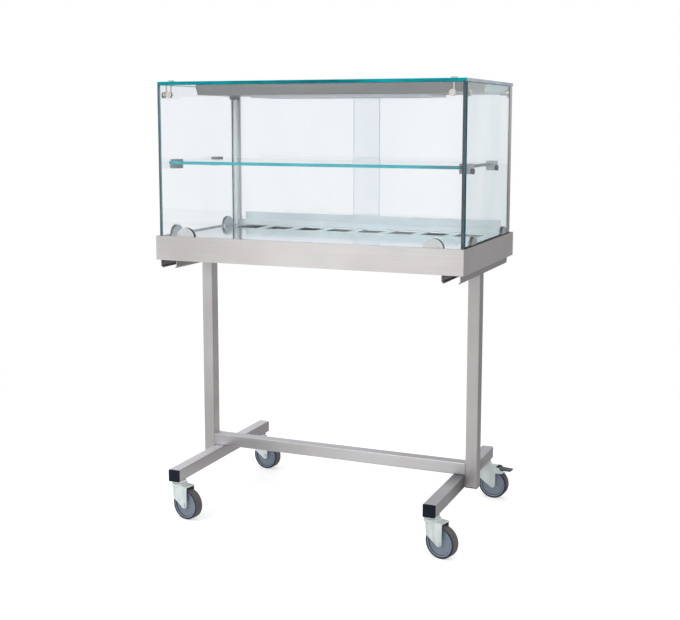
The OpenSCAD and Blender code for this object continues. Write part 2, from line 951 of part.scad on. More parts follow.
module deck_plate() {
    color("lightsteelblue") at_case() difference() {
        translate([0, 0, deck_z]) linear_extrude(sheet_t)
            square([inner_w - 2 * slip, inner_d - 2 * slip], center = true);
        for (i = [0:vent_count - 1]) {
            translate([(i - (vent_count - 1) / 2) * vent_pitch, vent_y, deck_z - through])
                linear_extrude(sheet_t + 2 * through) round_rect(vent_w, vent_d, vent_r);
        }
        translate([-riser_x, riser_y, deck_z - through])
            cylinder(d = riser_hole, h = sheet_t + 2 * through);
    }
}

// One heater: straight runs joined by round bends, with its terminals at the outer end
module heater(side) {
    far = heater_in_x + heater_run;
    for (i = [0:heater_runs - 1]) {
        run_y = heater_y + i * heater_pitch;
        outer = i == 0 || i == heater_runs - 1 ? heater_end + heater_bend : 0;
        translate([heater_in_x, run_y, heater_z]) rotate([0, 90, 0])
            cylinder(d = heater_d, h = heater_run + outer);
    }
    for (i = [0:heater_runs - 2]) {
        inner = i % 2 == 0;
        translate([inner ? heater_in_x : far, heater_y + (i + 0.5) * heater_pitch, heater_z])
            rotate([0, 0, inner ? 90 : -90]) rotate_extrude(angle = 180)
            translate([heater_bend, 0]) circle(d = heater_d);
    }
}

// A strap under a heater's runs, turned up at both ends to the deck
module heater_strap(x) {
    near = heater_y - strap_reach;
    last = heater_y + (heater_runs - 1) * heater_pitch + strap_reach;
    top = heater_z - heater_d / 2 - slip / 2;
    span([x - strap_w / 2, near, top - strap_t], [x + strap_w / 2, last, top]);
    span([x - strap_w / 2, near, top], [x + strap_w / 2, near + strap_t, deck_z]);
    span([x - strap_w / 2, last - strap_t, top], [x + strap_w / 2, last, deck_z]);
}

module deck_heaters() {
    color("dimgray") at_case() for (side = [left, right]) mirror([side == left ? 1 : 0, 0, 0]) {
        heater(side);
        heater_strap(heater_in_x + heater_run * 0.2);
        heater_strap(heater_in_x + heater_run * 0.8);
    }
}

module at_fan(side) {
    at_case() translate([side * fan_x, fan_y, fan_z]) children();
}

// A fan frame: a square ring on four feet, with a motor plate held by four arms
module fan_frame() {
    corner = fan_w / 2 - fan_foot / 2 - 2;
    difference() {
        linear_extrude(fan_h) difference() {
            round_rect(fan_w, fan_w, 4);
            circle(d = fan_bore);
        }
        for (sx = [-1, 1], sy = [-1, 1]) {
            translate([sx * corner, sy * corner, -through]) cylinder(d = 4, h = fan_h + 2 * through);
        }
    }
    cylinder(d = rotor_hub + 2, h = motor_plate);
    for (turn = [0, 90]) rotate([0, 0, turn]) {
        translate([-fan_bore / 2 - 1, -2.5, 0]) cube([fan_bore + 2, 5, motor_plate]);
    }
    cylinder(d = rotor_pin, h = rotor_z - fan_z + rotor_h - 3);
}

// The four feet that stand a fan on the bottom cover
module fan_feet() {
    corner = fan_w / 2 - fan_foot / 2 - 2;
    for (sx = [-1, 1], sy = [-1, 1]) {
        translate([sx * corner, sy * corner, cover_top - fan_z])
            cylinder(d = fan_foot, h = fan_z - cover_top);
    }
}

module fan_frames() {
    color("dimgray") for (side = [left, right]) at_fan(side) {
        fan_frame();
        fan_feet();
    }
}

// A rotor: a cupped hub on the frame's pin, with slanted blades
module fan_rotor() {
    blade_reach = rotor_tip / 2 - rotor_hub / 2;
    translate([0, 0, rotor_z - fan_z]) difference() {
        union() {
            cylinder(d = rotor_hub, h = rotor_h);
            intersection() {
                for (i = [0:blade_count - 1]) rotate([0, 0, i * 360 / blade_count]) {
                    translate([rotor_hub / 2 - 2, 0, rotor_h / 2]) rotate([38, 0, 0])
                        cube([2 * (blade_reach + 6), 20, 1.6], center = true);
                }
                difference() {
                    cylinder(d = rotor_tip, h = rotor_h);
                    translate([0, 0, -through]) cylinder(d = rotor_hub - 4, h = rotor_h + 2 * through);
                }
            }
        }
        translate([0, 0, -through]) cylinder(d = rotor_pin + fit, h = rotor_h - 2 + through);
    }
}

module fan_rotor_left() {
    color("black") at_fan(left) fan_rotor();
}

module fan_rotor_right() {
    color("black") at_fan(right) fan_rotor();
}

// A rocker switch's body: open to the rear, with bored cheeks for the rocker's pins
module switch_body(x) {
    w = switch_size[0];
    h = switch_size[1];
    face = rear_wall_y + bezel_t;
    difference() {
        union() {
            rear_box(x, w, h, face - switch_depth, switch_depth);
            rear_box(x, w + 2 * bezel_lap, h + 2 * bezel_lap, rear_wall_y, bezel_t);
        }
        rear_box(x, w - 2 * switch_wall, h - 2 * switch_wall, rocker_y - rocker_back - 2, switch_depth);
        translate([x - w / 2 - through, rocker_y, control_z]) rotate([0, 90, 0])
            cylinder(d = rocker_pin_d + fit, h = w - bezel_lap + 2 * through);
    }
}

module switch_bodies() {
    color("black") at_case() {
        switch_body(power_x);
        switch_body(light_x);
    }
}

// A rocker, tipped to its off position, on two stub pins
module rocker(x) {
    w = switch_size[0] - 2 * switch_wall - 2 * gap;
    half = switch_size[1] / 2 - switch_wall - 0.8;
    pin_len = w + 2 * (switch_wall - 0.1);
    at_case() translate([x, rocker_y, control_z]) rotate([-rocker_tilt, 0, 0]) {
        translate([-w / 2, 0, 0]) rotate([90, 0, 90]) linear_extrude(w) polygon([
            [-rocker_back, -half], [rocker_front, -half], [rocker_front - 1.2, 0],
            [rocker_front, half], [-rocker_back, half]
        ]);
        translate([-pin_len / 2, 0, 0]) rotate([0, 90, 0]) cylinder(d = rocker_pin_d, h = pin_len);
    }
}

module power_rocker() {
    color("red") rocker(power_x);
}

module light_rocker() {
    color("darkslategray") rocker(light_x);
}

module thermostat() {
    inner = rear_wall_y - sheet_t;
    back = inner - thermostat_depth;
    color("dimgray") at_case() difference() {
        union() {
            rear_box(thermostat_x, thermostat_size[0], thermostat_size[1], back, thermostat_depth);
            rear_round(thermostat_x, bush_d, inner - 1, sheet_t + 1);
        }
        rear_round(thermostat_x, spindle_d + fit, inner - 14, 14 + sheet_t + through);
    }
}

// The knob with its spindle, which turns in the thermostat's bush
module thermostat_knob() {
    start = rear_wall_y + gap;
    color("black") at_case() {
        rear_round(thermostat_x, spindle_d, rear_wall_y - 12, 14);
        difference() {
            rear_round(thermostat_x, knob_d, start, knob_h);
            for (i = [0:11]) translate([thermostat_x, start + 5, control_z]) rotate([0, i * 30, 0])
                translate([knob_d / 2 + 0.8, 0, 0]) rotate([-90, 0, 0]) cylinder(d = 4, h = knob_h);
        }
        translate([thermostat_x - 1, start + knob_h - 0.5, control_z]) cube([2, 1.5, knob_d / 2 - 2]);
    }
}

module pilot_lamp() {
    color("orange") at_case() {
        rear_round(pilot_x, pilot_d, rear_wall_y - pilot_depth, pilot_depth);
        rear_round(pilot_x, pilot_d + 3, rear_wall_y, 1.5);
        rear_round(pilot_x, pilot_d - 1.5, rear_wall_y + 1, 3);
    }
}

// The power inlet: a flanged housing with a pocket and three contact pins
module power_inlet() {
    w = inlet_size[0];
    h = inlet_size[1];
    face = rear_wall_y + inlet_flange;
    color("black") at_case() {
        difference() {
            union() {
                rear_box(inlet_x, w, h, rear_wall_y - inlet_depth, inlet_depth);
                rear_box(inlet_x, w + 4, h + 3, rear_wall_y, inlet_flange);
            }
            rear_box(inlet_x, w - 5, h - 6, face - inlet_pocket, inlet_pocket + through);
        }
        for (pin = [[-7, -1], [0, 2], [7, -1]]) {
            translate([inlet_x + pin[0] - 1, face - inlet_pocket + fit, control_z + pin[1] - 2])
                cube([2, 12, 4]);
        }
    }
}

function unit(v) = v / norm(v);

// Corners of a tube swept along points: mitred at each bend, square at both ends
function run_heading(points, i) = unit(points[i + 1] - points[i]);
function first_offset(heading, turn) = let (
    side = unit(cross(heading, abs(heading[2]) > 0.9 ? [1, 0, 0] : [0, 0, 1])),
    up = cross(side, heading)
) side * cos(turn) + up * sin(turn);
function square_offset(points, i, turn) = i == 0 ? first_offset(run_heading(points, 0), turn) : let (
    bend = bend_offset(points, i, turn),
    heading = run_heading(points, i)
) bend - (bend * heading) * heading;
function bend_offset(points, i, turn) = let (
    before = square_offset(points, i - 1, turn),
    heading = run_heading(points, i - 1),
    mitre = unit(heading + run_heading(points, i))
) before - (before * mitre) / (heading * mitre) * heading;
function tube_ring(points, i, d, sides) = [
    for (k = [0:sides - 1]) let (
        turn = k * 360 / sides,
        last = len(points) - 1,
        away = i == 0 ? square_offset(points, 0, turn)
            : i == last ? square_offset(points, last - 1, turn)
            : bend_offset(points, i, turn)
    ) points[i] + away * d / 2
];

// A round wire along a list of points, with mitred bends
module wire(points, d = wire_d, sides = 10) {
    rings = len(points);
    corners = [for (i = [0:rings - 1]) each tube_ring(points, i, d, sides)];
    walls = [
        for (i = [0:rings - 2], k = [0:sides - 1]) let (next = (k + 1) % sides)
            [i * sides + k, i * sides + next, (i + 1) * sides + next, (i + 1) * sides + k]
    ];
    near = [for (k = [sides - 1:-1:0]) k];
    far = [for (k = [0:sides - 1]) (rings - 1) * sides + k];
    polyhedron(corners, concat([near], walls, [far]), convexity = 4);
}

// The wire duct along the rear of the base, its branches and the riser to the canopy
module wiring() {
    trunk_top = cover_top + trunk_h;
    trunk_front = trunk_y - trunk_w / 2;
    exit_y = trunk_front - fit;
    level = cover_top + trunk_h / 2;
    fan_back = fan_y + fan_w / 2;
    heater_tip = heater_in_x + heater_run + heater_end + heater_bend;
    heater_last = heater_y + (heater_runs - 1) * heater_pitch;
    color("dimgray") at_case() {
        span([-trunk_x, trunk_front, cover_top], [trunk_x, trunk_front + trunk_w, trunk_top]);
        drop_to_trunk(inlet_x, rear_wall_y - inlet_depth, trunk_top);
        drop_to_trunk(power_x, rear_wall_y + bezel_t - switch_depth, trunk_top);
        drop_to_trunk(light_x, rear_wall_y + bezel_t - switch_depth, trunk_top);
        drop_to_trunk(pilot_x, rear_wall_y - pilot_depth, trunk_top);
        drop_to_trunk(thermostat_x, rear_wall_y - sheet_t - thermostat_depth, trunk_top);
        for (side = [left, right]) {
            wire([[side * fan_x, exit_y, level + 4], [side * fan_x, fan_back, level + 4]]);
            for (end = [0, 1]) {
                x = side * (heater_tip + 14 + 10 * end);
                y = end == 0 ? heater_last : heater_y;
                wire([[x, exit_y, level], [x, y, level], [x, y, heater_z],
                    [side * heater_tip, y, heater_z]]);
            }
        }
        wire([
            [-trunk_x - fit, trunk_y, level], [-riser_x, trunk_y, level], [-riser_x, riser_y, level],
            [-riser_x, riser_y, riser_top], [-lamp_feed_x, riser_y, riser_top],
            [-lamp_feed_x, lamp_ys[1], riser_top], [-lamp_len / 2 - holder_l, lamp_ys[1], riser_top]
        ]);
        wire([[-lamp_len / 2 - holder_l / 2, lamp_ys[1] - holder_w / 2, riser_top],
            [-lamp_len / 2 - holder_l / 2, lamp_ys[0] + holder_w / 2, riser_top]]);
    }
}

// A wire from the back of a control, forward and then down onto the duct
module drop_to_trunk(x, y, trunk_top) {
    wire([[x, y, control_z], [x, trunk_y, control_z], [x, trunk_y, trunk_top + fit]]);
}

// Glass case

module front_glass() {
    color("paleturquoise", 0.4) at_case() difference() {
        span([-glass_x, glass_front, pane_z], [glass_x, pane_in_y, pane_top]);
        for (side = [left, right]) translate([side * connector_x, glass_front - through, connector_z])
            rotate([-90, 0, 0]) cylinder(d = boss_d + slip, h = pane_t + 2 * through);
    }
}

module side_glass(side) {
    at_case() mirror([side == left ? 1 : 0, 0, 0]) difference() {
        span([pane_in_x, pane_in_y, pane_z], [glass_x, side_pane_end, pane_top]);
        side_bore(connector_y, connector_z, boss_d + slip);
        for (y = block_ys) side_bore(y, (block_z + shelf_z) / 2, screw_d + 2);
    }
}

// A hole through a side pane
module side_bore(y, z, d) {
    translate([pane_in_x - through, y, z]) rotate([0, 90, 0]) cylinder(d = d, h = pane_t + 2 * through);
}

module side_glass_left() {
    color("paleturquoise", 0.4) side_glass(left);
}

module side_glass_right() {
    color("paleturquoise", 0.4) side_glass(right);
}

module top_glass() {
    color("darkturquoise", 0.4) at_case() difference() {
        span([-glass_x, glass_front, pane_top], [glass_x, top_pane_end, pane_top + top_pane_t]);
        for (side = [left, right]) translate([side * connector_x, front_rod_y, pane_top - through])
            cylinder(d = rod_d + 1, h = top_pane_t + 2 * through);
    }
}

// Places of the six glass clamps, with X along the pane and Y pointing into the case
module at_clamps() {
    for (side = [left, right]) {
        translate([side * front_clamp_x, glass_front, deck_top]) children();
        for (end = [front, rear]) translate([side * glass_x, end * side_clamp_y, deck_top])
            rotate([0, 0, side * 90]) children();
    }
}

// Seals under the panes, left out at the clamps, and behind the side panes
module glass_seals() {
    color("black") at_case() {
        difference() {
            union() {
                span([-glass_x, glass_front, deck_top], [glass_x, pane_in_y, pane_z]);
                for (side = [left, right]) mirror([side == left ? 1 : 0, 0, 0])
                    span([pane_in_x, pane_in_y, deck_top], [glass_x, side_pane_end, pane_z]);
            }
            at_clamps() translate([-clamp_r, -through, -through])
                cube([2 * clamp_r, pane_t + 2 * through, seal_t + 2 * through]);
        }
        for (side = [left, right]) mirror([side == left ? 1 : 0, 0, 0])
            span([pane_in_x, side_pane_end, deck_top], [glass_x, post_front, pane_top]);
    }
}

// Half of a disc standing on the deck, with its outer face towards -Y
module half_disc(t) {
    intersection() {
        rotate([-90, 0, 0]) cylinder(r = clamp_r, h = t, $fn = 96);
        translate([-clamp_r, -through, 0]) cube([2 * clamp_r, t + 2 * through, clamp_r]);
    }
}

module glass_clamps() {
    color("gray") at_case() at_clamps() {
        translate([0, -clamp_out_t, 0]) half_disc(clamp_out_t);
        translate([0, pane_t, 0]) half_disc(clamp_in_t);
        translate([-clamp_r, -1, 0]) cube([2 * clamp_r, pane_t + 2, seal_t]);
    }
}

// A corner connector: discs on three panes, joined behind the glass by rods
module corner_connector() {
    rod_top = pane_top + top_pane_t;
    translate([connector_x, 0, connector_z]) rotate([-90, 0, 0]) {
        translate([0, 0, glass_front - disc_t]) cylinder(d = disc_d, h = disc_t);
        translate([0, 0, glass_front - 1]) cylinder(d = boss_d, h = pane_t + 2);
        translate([0, 0, pane_in_y]) cylinder(d = disc_d, h = disc_t);
        translate([0, 0, pane_in_y + 1]) cylinder(d = rod_d, h = rod_stand_off - 1);
    }
    translate([0, connector_y, connector_z]) rotate([0, 90, 0]) {
        translate([0, 0, glass_x]) cylinder(d = disc_d, h = disc_t);
        translate([0, 0, pane_in_x - 1]) cylinder(d = boss_d, h = pane_t + 2);
        translate([0, 0, pane_in_x - disc_t]) cylinder(d = disc_d, h = disc_t);
        translate([0, 0, side_rod_x]) cylinder(d = rod_d, h = side_rod_stand_off - 1);
    }
    translate([connector_x, front_rod_y, connector_z - rod_d / 2])
        cylinder(d = rod_d, h = rod_top - connector_z + rod_d / 2 + 1);
    translate([connector_x, front_rod_y, rod_top]) cylinder(d = disc_d, h = top_disc_t);
    translate([side_rod_x, connector_y, connector_z - rod_d / 2])
        cylinder(d = rod_d, h = pane_top - connector_z + rod_d / 2);
    translate([connector_x, front_rod_y, connector_z]) rotate([0, 90, 0])
        cylinder(d = link_d, h = side_rod_x - connector_x + link_d / 2);
    translate([side_rod_x, front_rod_y - link_d / 2, connector_z]) rotate([-90, 0, 0])
        cylinder(d = link_d, h = connector_y - front_rod_y + link_d / 2);
}

module corner_connectors() {
    color("wheat") at_case() for (side = [left, right]) mirror([side == left ? 1 : 0, 0, 0])
        corner_connector();
}

module shelf_glass() {
    color("turquoise", 0.5) at_case() span([-shelf_x, shelf_y, shelf_z],
        [shelf_x, shelf_y + shelf_d, shelf_z + shelf_t]);
}

// A block that grips the shelf's edge, with a cap screw through the side pane
module shelf_clamp(y) {
    screw_z = (block_z + shelf_z) / 2;
    difference() {
        span([pane_in_x - block, y - block / 2, block_z], [pane_in_x, y + block / 2, block_z + block]);
        span([pane_in_x - block - through, y - block / 2 - through, shelf_z],
            [shelf_x, y + block / 2 + through, shelf_z + shelf_t]);
        translate([pane_in_x - screw_grip - 1, y, screw_z]) rotate([0, 90, 0])
            cylinder(d = screw_d + fit, h = screw_grip + 1 + through);
    }
    translate([pane_in_x - screw_grip, y, screw_z]) rotate([0, 90, 0])
        cylinder(d = screw_d, h = screw_grip + pane_t + 1);
    translate([glass_x, y, screw_z]) rotate([0, 90, 0]) cylinder(d = cap_screw_d, h = disc_t);
}

module shelf_clamps() {
    color("gray") at_case() for (side = [left, right]) mirror([side == left ? 1 : 0, 0, 0]) {
        for (y = block_ys) shelf_clamp(y);
    }
}

// Rear posts, tracks and doors

module rear_post() {
    outer = pane_in_x + angle_t;
    span([pane_in_x, post_front, deck_top], [outer, post_back, pane_top]);
    span([outer - post_return, return_front, deck_top], [outer, post_back, pane_top]);
}

// A cover over the riser, open towards the post
module riser_duct() {
    difference() {
        span([pane_in_x - duct_depth, duct_front, deck_top],
            [pane_in_x - fit, duct_front + duct_w, duct_top]);
        span([pane_in_x - duct_depth + duct_wall, duct_front + duct_wall, deck_top - through],
            [pane_in_x + through, duct_front + duct_w - duct_wall, duct_top + through]);
    }
}

module rear_post_left() {
    color("silver") at_case() mirror([1, 0, 0]) {
        rear_post();
        riser_duct();
    }
}

module rear_post_right() {
    color("silver") at_case() rear_post();
}

// The lower track: a floor and three ribs, with one groove for each door
module door_track_lower() {
    mid = (door_near_y + door_t + door_far_y) / 2;
    color("silver") at_case() translate([-pane_in_x, 0, deck_top]) {
        translate([0, track_front, 0]) cube([2 * pane_in_x, track_d, track_wall]);
        for (y = [track_front, mid - track_wall / 2, return_front - track_wall]) {
            translate([0, y, 0]) cube([2 * pane_in_x, track_wall, track_h]);
        }
    }
}

module door_track_upper() {
    color("silver") at_case() difference() {
        span([-pane_in_x, track_front, pane_top - top_track_h], [pane_in_x, return_front, pane_top]);
        for (y = [door_near_y, door_far_y]) {
            span([-pane_in_x - through, y - groove_slack / 2, pane_top - top_track_h - through],
                [pane_in_x + through, y + door_t + groove_slack / 2, pane_top - track_web]);
        }
    }
}

// A door pane, drawn for the right side with its outer edge by the post
module door_pane(y) {
    span([-door_inner, y, pane_seat], [door_outer, y + door_t, door_top]);
}

// A door's lower rail: a pocket for the pane above its web and two glides below
module door_rail(y) {
    start = -door_inner;
    end = door_outer - rail_inset;
    low = y - rail_t;
    high = y + door_t + rail_t;
    span([start, low, rail_foot], [end, y, rail_top]);
    span([start, high - rail_t, rail_foot], [end, high, rail_top]);
    span([start, low, rail_web_z], [end, high, pane_seat]);
}

module door_glides(y) {
    for (x = [20 - door_inner, door_outer - rail_inset - 20 - glide_len]) {
        span([x, y + fit, deck_top + track_wall + gap], [x + glide_len, y + door_t - fit, rail_web_z - fit]);
    }
}

module sliding_door_left() {
    color("azure", 0.4) at_case() mirror([1, 0, 0]) door_pane(door_far_y);
}

module sliding_door_right() {
    color("azure", 0.4) at_case() door_pane(door_near_y);
}

module door_rail_left() {
    color("darkgray") at_case() mirror([1, 0, 0]) {
        door_rail(door_far_y);
        door_glides(door_far_y);
    }
}

module door_rail_right() {
    color("darkgray") at_case() {
        door_rail(door_near_y);
        door_glides(door_near_y);
    }
}

// Canopy

// The canopy's front outline, drawn in by a margin on every side
module canopy_outline(margin) {
    slope = canopy_slant / canopy_h;
    high_x = canopy_x - margin - slope * margin;
    low_x = canopy_low_x - margin + slope * margin;
    polygon([[-high_x, pane_top - margin], [high_x, pane_top - margin],
        [low_x, canopy_z + margin], [-low_x, canopy_z + margin]]);
}

module canopy_housing() {
    opening_w = tray_w - 2 * tray_rim;
    opening_d = tray_d - 2 * tray_rim;
    color("lightslategray") at_case() difference() {
        union() {
            translate([0, canopy_back, 0]) rotate([90, 0, 0]) linear_extrude(canopy_d) canopy_outline(0);
            span([-canopy_low_x - canopy_lip, canopy_front, canopy_z],
                [canopy_low_x + canopy_lip, canopy_back, canopy_z + canopy_t]);
        }
        translate([0, canopy_back - canopy_t, 0]) rotate([90, 0, 0])
            linear_extrude(canopy_d - 2 * canopy_t) canopy_outline(canopy_t);
        translate([0, tray_y + tray_d / 2, canopy_z - through]) linear_extrude(canopy_t + 2 * through)
            square([opening_w, opening_d], center = true);
        translate([-lamp_feed_x, canopy_back + through, riser_top]) rotate([90, 0, 0])
            cylinder(d = riser_hole, h = canopy_t + 2 * through);
    }
}

// Brackets from the rear posts, with a tab under the canopy's rear edge
module canopy_bracket() {
    span([pane_in_x - bracket_t, bracket_front, bracket_z],
        [pane_in_x, return_front - gap, bracket_z + bracket_h]);
    span([pane_in_x - bracket_in, bracket_front, canopy_z - bracket_plate_t],
        [pane_in_x - bracket_t, canopy_back, canopy_z]);
}

module canopy_brackets() {
    color("slategray") at_case() for (side = [left, right]) mirror([side == left ? 1 : 0, 0, 0])
        canopy_bracket();
}

module lamp_tray() {
    color("lightsteelblue") at_case() translate([0, tray_y + tray_d / 2, 0]) {
        ring(tray_w, tray_d, canopy_t, tray_z, canopy_z);
        ring(tray_w, tray_d, tray_rim, tray_z, tray_z + canopy_t);
    }
}

module lamp_guard_glass() {
    side = canopy_t + slip;
    color("aliceblue", 0.6) at_case() translate([0, tray_y + tray_d / 2, tray_z + canopy_t])
        linear_extrude(guard_t) square([tray_w - 2 * side, tray_d - 2 * side], center = true);
}

// Two lamp tubes, each held at both ends by a block on the canopy's top sheet
module lamp_tubes() {
    holder_z = lamp_z - holder_w / 2;
    holder_top = pane_top - canopy_t;
    color("ivory") at_case() for (y = lamp_ys) {
        translate([-lamp_len / 2 + fit, y, lamp_z]) rotate([0, 90, 0])
            cylinder(d = lamp_d, h = lamp_len - 2 * fit);
        for (side = [left, right]) mirror([side == left ? 1 : 0, 0, 0])
            span([lamp_len / 2, y - holder_w / 2, holder_z],
                [lamp_len / 2 + holder_l, y + holder_w / 2, holder_top]);
    }
}

foot_left();
foot_right();
tube_end_caps();
post_left();
post_right();
stretcher();
support_channel_left();
support_channel_right();
case_bolts();
caster_stems();
caster_fork_front_left();
caster_fork_front_right();
caster_fork_rear_left();
caster_fork_rear_right();
caster_wheel_front_left();
caster_wheel_front_right();
caster_wheel_rear_left();
caster_wheel_rear_right();
caster_tyre_front_left();
caster_tyre_front_right();
caster_tyre_rear_left();
caster_tyre_rear_right();
brake_pedal();
base_skirt();
base_bottom_cover();
deck_plate();
deck_heaters();
fan_frames();
fan_rotor_left();
fan_rotor_right();
switch_bodies();
power_rocker();
light_rocker();
thermostat();
thermostat_knob();
pilot_lamp();
power_inlet();
wiring();
front_glass();
side_glass_left();
side_glass_right();
top_glass();
glass_seals();
glass_clamps();
corner_connectors();
shelf_glass();
shelf_clamps();
rear_post_left();
rear_post_right();
door_track_lower();
door_track_upper();
sliding_door_left();
sliding_door_right();
door_rail_left();
door_rail_right();
canopy_housing();
canopy_brackets();
lamp_tray();
lamp_tubes();
lamp_guard_glass();
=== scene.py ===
import json
import math

import bpy
from mathutils import Matrix, Vector


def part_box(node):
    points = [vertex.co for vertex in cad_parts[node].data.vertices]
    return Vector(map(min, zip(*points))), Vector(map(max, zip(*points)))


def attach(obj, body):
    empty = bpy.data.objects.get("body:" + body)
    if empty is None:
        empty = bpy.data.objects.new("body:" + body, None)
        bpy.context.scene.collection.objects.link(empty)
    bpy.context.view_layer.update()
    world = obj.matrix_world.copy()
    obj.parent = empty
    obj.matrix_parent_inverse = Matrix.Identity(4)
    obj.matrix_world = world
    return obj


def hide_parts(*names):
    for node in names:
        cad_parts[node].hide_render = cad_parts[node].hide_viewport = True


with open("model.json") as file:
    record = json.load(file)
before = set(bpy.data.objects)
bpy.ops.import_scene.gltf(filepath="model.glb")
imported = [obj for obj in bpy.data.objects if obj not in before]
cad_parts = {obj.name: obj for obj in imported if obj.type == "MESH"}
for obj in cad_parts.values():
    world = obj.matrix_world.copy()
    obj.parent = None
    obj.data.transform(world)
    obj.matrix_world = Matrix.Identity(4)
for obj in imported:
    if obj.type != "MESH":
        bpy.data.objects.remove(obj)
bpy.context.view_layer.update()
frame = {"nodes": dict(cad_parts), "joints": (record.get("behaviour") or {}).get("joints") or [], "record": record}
cadNodes = frame["nodes"]
subparts = frame["record"]["subparts"]
joints = {joint["name"]: joint for joint in frame["joints"]}
slotOf = {part["node"]: part["material_slot"] for part in subparts}
bodyOf = {node: body for body, held in frame["record"]["behaviour"]["bodies"].items() for node in held}
print("frame loaded")


# Directions and tolerances

up = Vector((0, 0, 1))
sameSpot = 0.0001  # places closer than this count as one
doubled = 0.00001  # corners of a CAD mesh this close are merged
flatAngle = 1  # degrees between two triangles of one flat face
squareOn = 0.99  # how much of its normal a face has along the direction it looks in
nearlyOn = 0.9  # looser, for faces beside an eased edge
partlyOn = 0.5


# Selecting and shaping, as by hand

def makeActive(piece):
    bpy.ops.object.select_all(action="DESELECT")
    piece.select_set(True)
    bpy.context.view_layer.objects.active = piece


def applyPlace(piece):  # leaves the object at the origin, with its place in its mesh
    makeActive(piece)
    bpy.ops.object.transform_apply(location=True, rotation=True, scale=True)


def startEdit(piece, kind="FACE"):
    makeActive(piece)
    bpy.ops.object.mode_set(mode="EDIT")
    bpy.ops.mesh.select_mode(type=kind)
    bpy.ops.mesh.select_all(action="DESELECT")


def endEdit():
    bpy.ops.object.mode_set(mode="OBJECT")


def pickFacing(piece, direction):  # selects the faces that look straight along a direction
    bpy.ops.mesh.select_all(action="DESELECT")
    endEdit()
    for face in piece.data.polygons:
        face.select = face.normal.dot(direction) > squareOn
    bpy.ops.object.mode_set(mode="EDIT")


def pickEdges(piece, wanted):  # wanted is given the two ends of each edge
    bpy.ops.mesh.select_all(action="DESELECT")
    endEdit()
    points = piece.data.vertices
    for edge in piece.data.edges:
        edge.select = wanted(points[edge.vertices[0]].co, points[edge.vertices[1]].co)
    bpy.ops.object.mode_set(mode="EDIT")


def turnTo(direction):  # the turn that brings up to a direction
    return Vector(direction).to_track_quat("Z", "Y")


def addBox(name, low, high):
    bpy.ops.object.select_all(action="DESELECT")
    bpy.ops.mesh.primitive_cube_add(size=1, location=(low + high) / 2)
    piece = bpy.context.object
    piece.name = name
    piece.scale = high - low
    applyPlace(piece)
    return piece


def addRound(name, middle, axis, radius, depth, sides):  # a round bar along axis
    bpy.ops.object.select_all(action="DESELECT")
    bpy.ops.mesh.primitive_cylinder_add(
        vertices=sides, radius=radius, depth=depth, location=middle, rotation=turnTo(axis).to_euler())
    piece = bpy.context.object
    piece.name = name
    applyPlace(piece)
    return piece


def copyTo(piece, name, place):  # a copy with its own mesh, moved by the matrix place
    twin = bpy.data.objects.new(name, piece.data.copy())
    bpy.context.scene.collection.objects.link(twin)
    twin.matrix_world = place
    applyPlace(twin)
    return twin


def smooth(piece, degrees=32):
    makeActive(piece)
    bpy.ops.object.shade_smooth_by_angle(angle=math.radians(degrees))


def roundEdges(piece, width, steps=2, degrees=32):
    makeActive(piece)
    bevel = piece.modifiers.new("rounding", "BEVEL")
    bevel.width = width
    bevel.segments = steps
    bevel.limit_method = "ANGLE"
    bevel.angle_limit = math.radians(degrees)
    bpy.ops.object.modifier_apply(modifier=bevel.name)
    smooth(piece)
    even = piece.modifiers.new("even", "WEIGHTED_NORMAL")
    even.keep_sharp = True
    bpy.ops.object.modifier_apply(modifier=even.name)


def softCopy(nodeName, pieceName, width):  # a CAD node's shape with its edges eased
    node = cadNodes[nodeName]
    piece = copyTo(node, pieceName, node.matrix_world)
    startEdit(piece)
    bpy.ops.mesh.select_all(action="SELECT")
    bpy.ops.mesh.remove_doubles(threshold=doubled)
    bpy.ops.mesh.dissolve_limited(angle_limit=math.radians(flatAngle))
    endEdit()
    roundEdges(piece, width)
    return piece


def settle(piece, body, slot, *replaced):
    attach(piece, body)
    if replaced:
        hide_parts(*replaced)


def standFor(piece, nodeName):  # the piece takes the node's place, on its body
    settle(piece, bodyOf[nodeName], slotOf[nodeName], nodeName)


# Parts of a node tree

def addNode(tree, kind, **settings):
    node = tree.nodes.new(kind)
    for key, value in settings.items():
        setattr(node, key, value)
    return node


def feed(tree, value, socket):  # value is plain, or another node's output
    if hasattr(value, "is_output"):
        tree.links.new(value, socket)
    elif socket.type == "RGBA":
        socket.default_value = (*value, 1)
    else:
        socket.default_value = value


def makeGroup(name, inputs, outputs):  # inputs and outputs map socket names to socket kinds
    group = bpy.data.node_groups.new(name, "ShaderNodeTree")
    for label, kind in inputs.items():
        group.interface.new_socket(name=label, in_out="INPUT", socket_type=kind)
    for label, kind in outputs.items():
        group.interface.new_socket(name=label, in_out="OUTPUT", socket_type=kind)
    return group, group.nodes.new("NodeGroupInput"), group.nodes.new("NodeGroupOutput")


def addPlace(tree):
    return addNode(tree, "ShaderNodeTexCoord").outputs["Object"]


def addStretched(tree, stretch):  # the place, stretched by its own share along each axis
    mapping = addNode(tree, "ShaderNodeMapping")
    tree.links.new(addPlace(tree), mapping.inputs["Vector"])
    feed(tree, stretch, mapping.inputs["Scale"])
    return mapping.outputs["Vector"]


def spread(tree, value, low, high, toLow=0, toHigh=1):  # stretches a value over a new range
    node = addNode(tree, "ShaderNodeMapRange")
    tree.links.new(value, node.inputs["Value"])
    node.inputs["From Min"].default_value = low
    node.inputs["From Max"].default_value = high
    node.inputs["To Min"].default_value = toLow
    node.inputs["To Max"].default_value = toHigh
    return node.outputs["Result"]


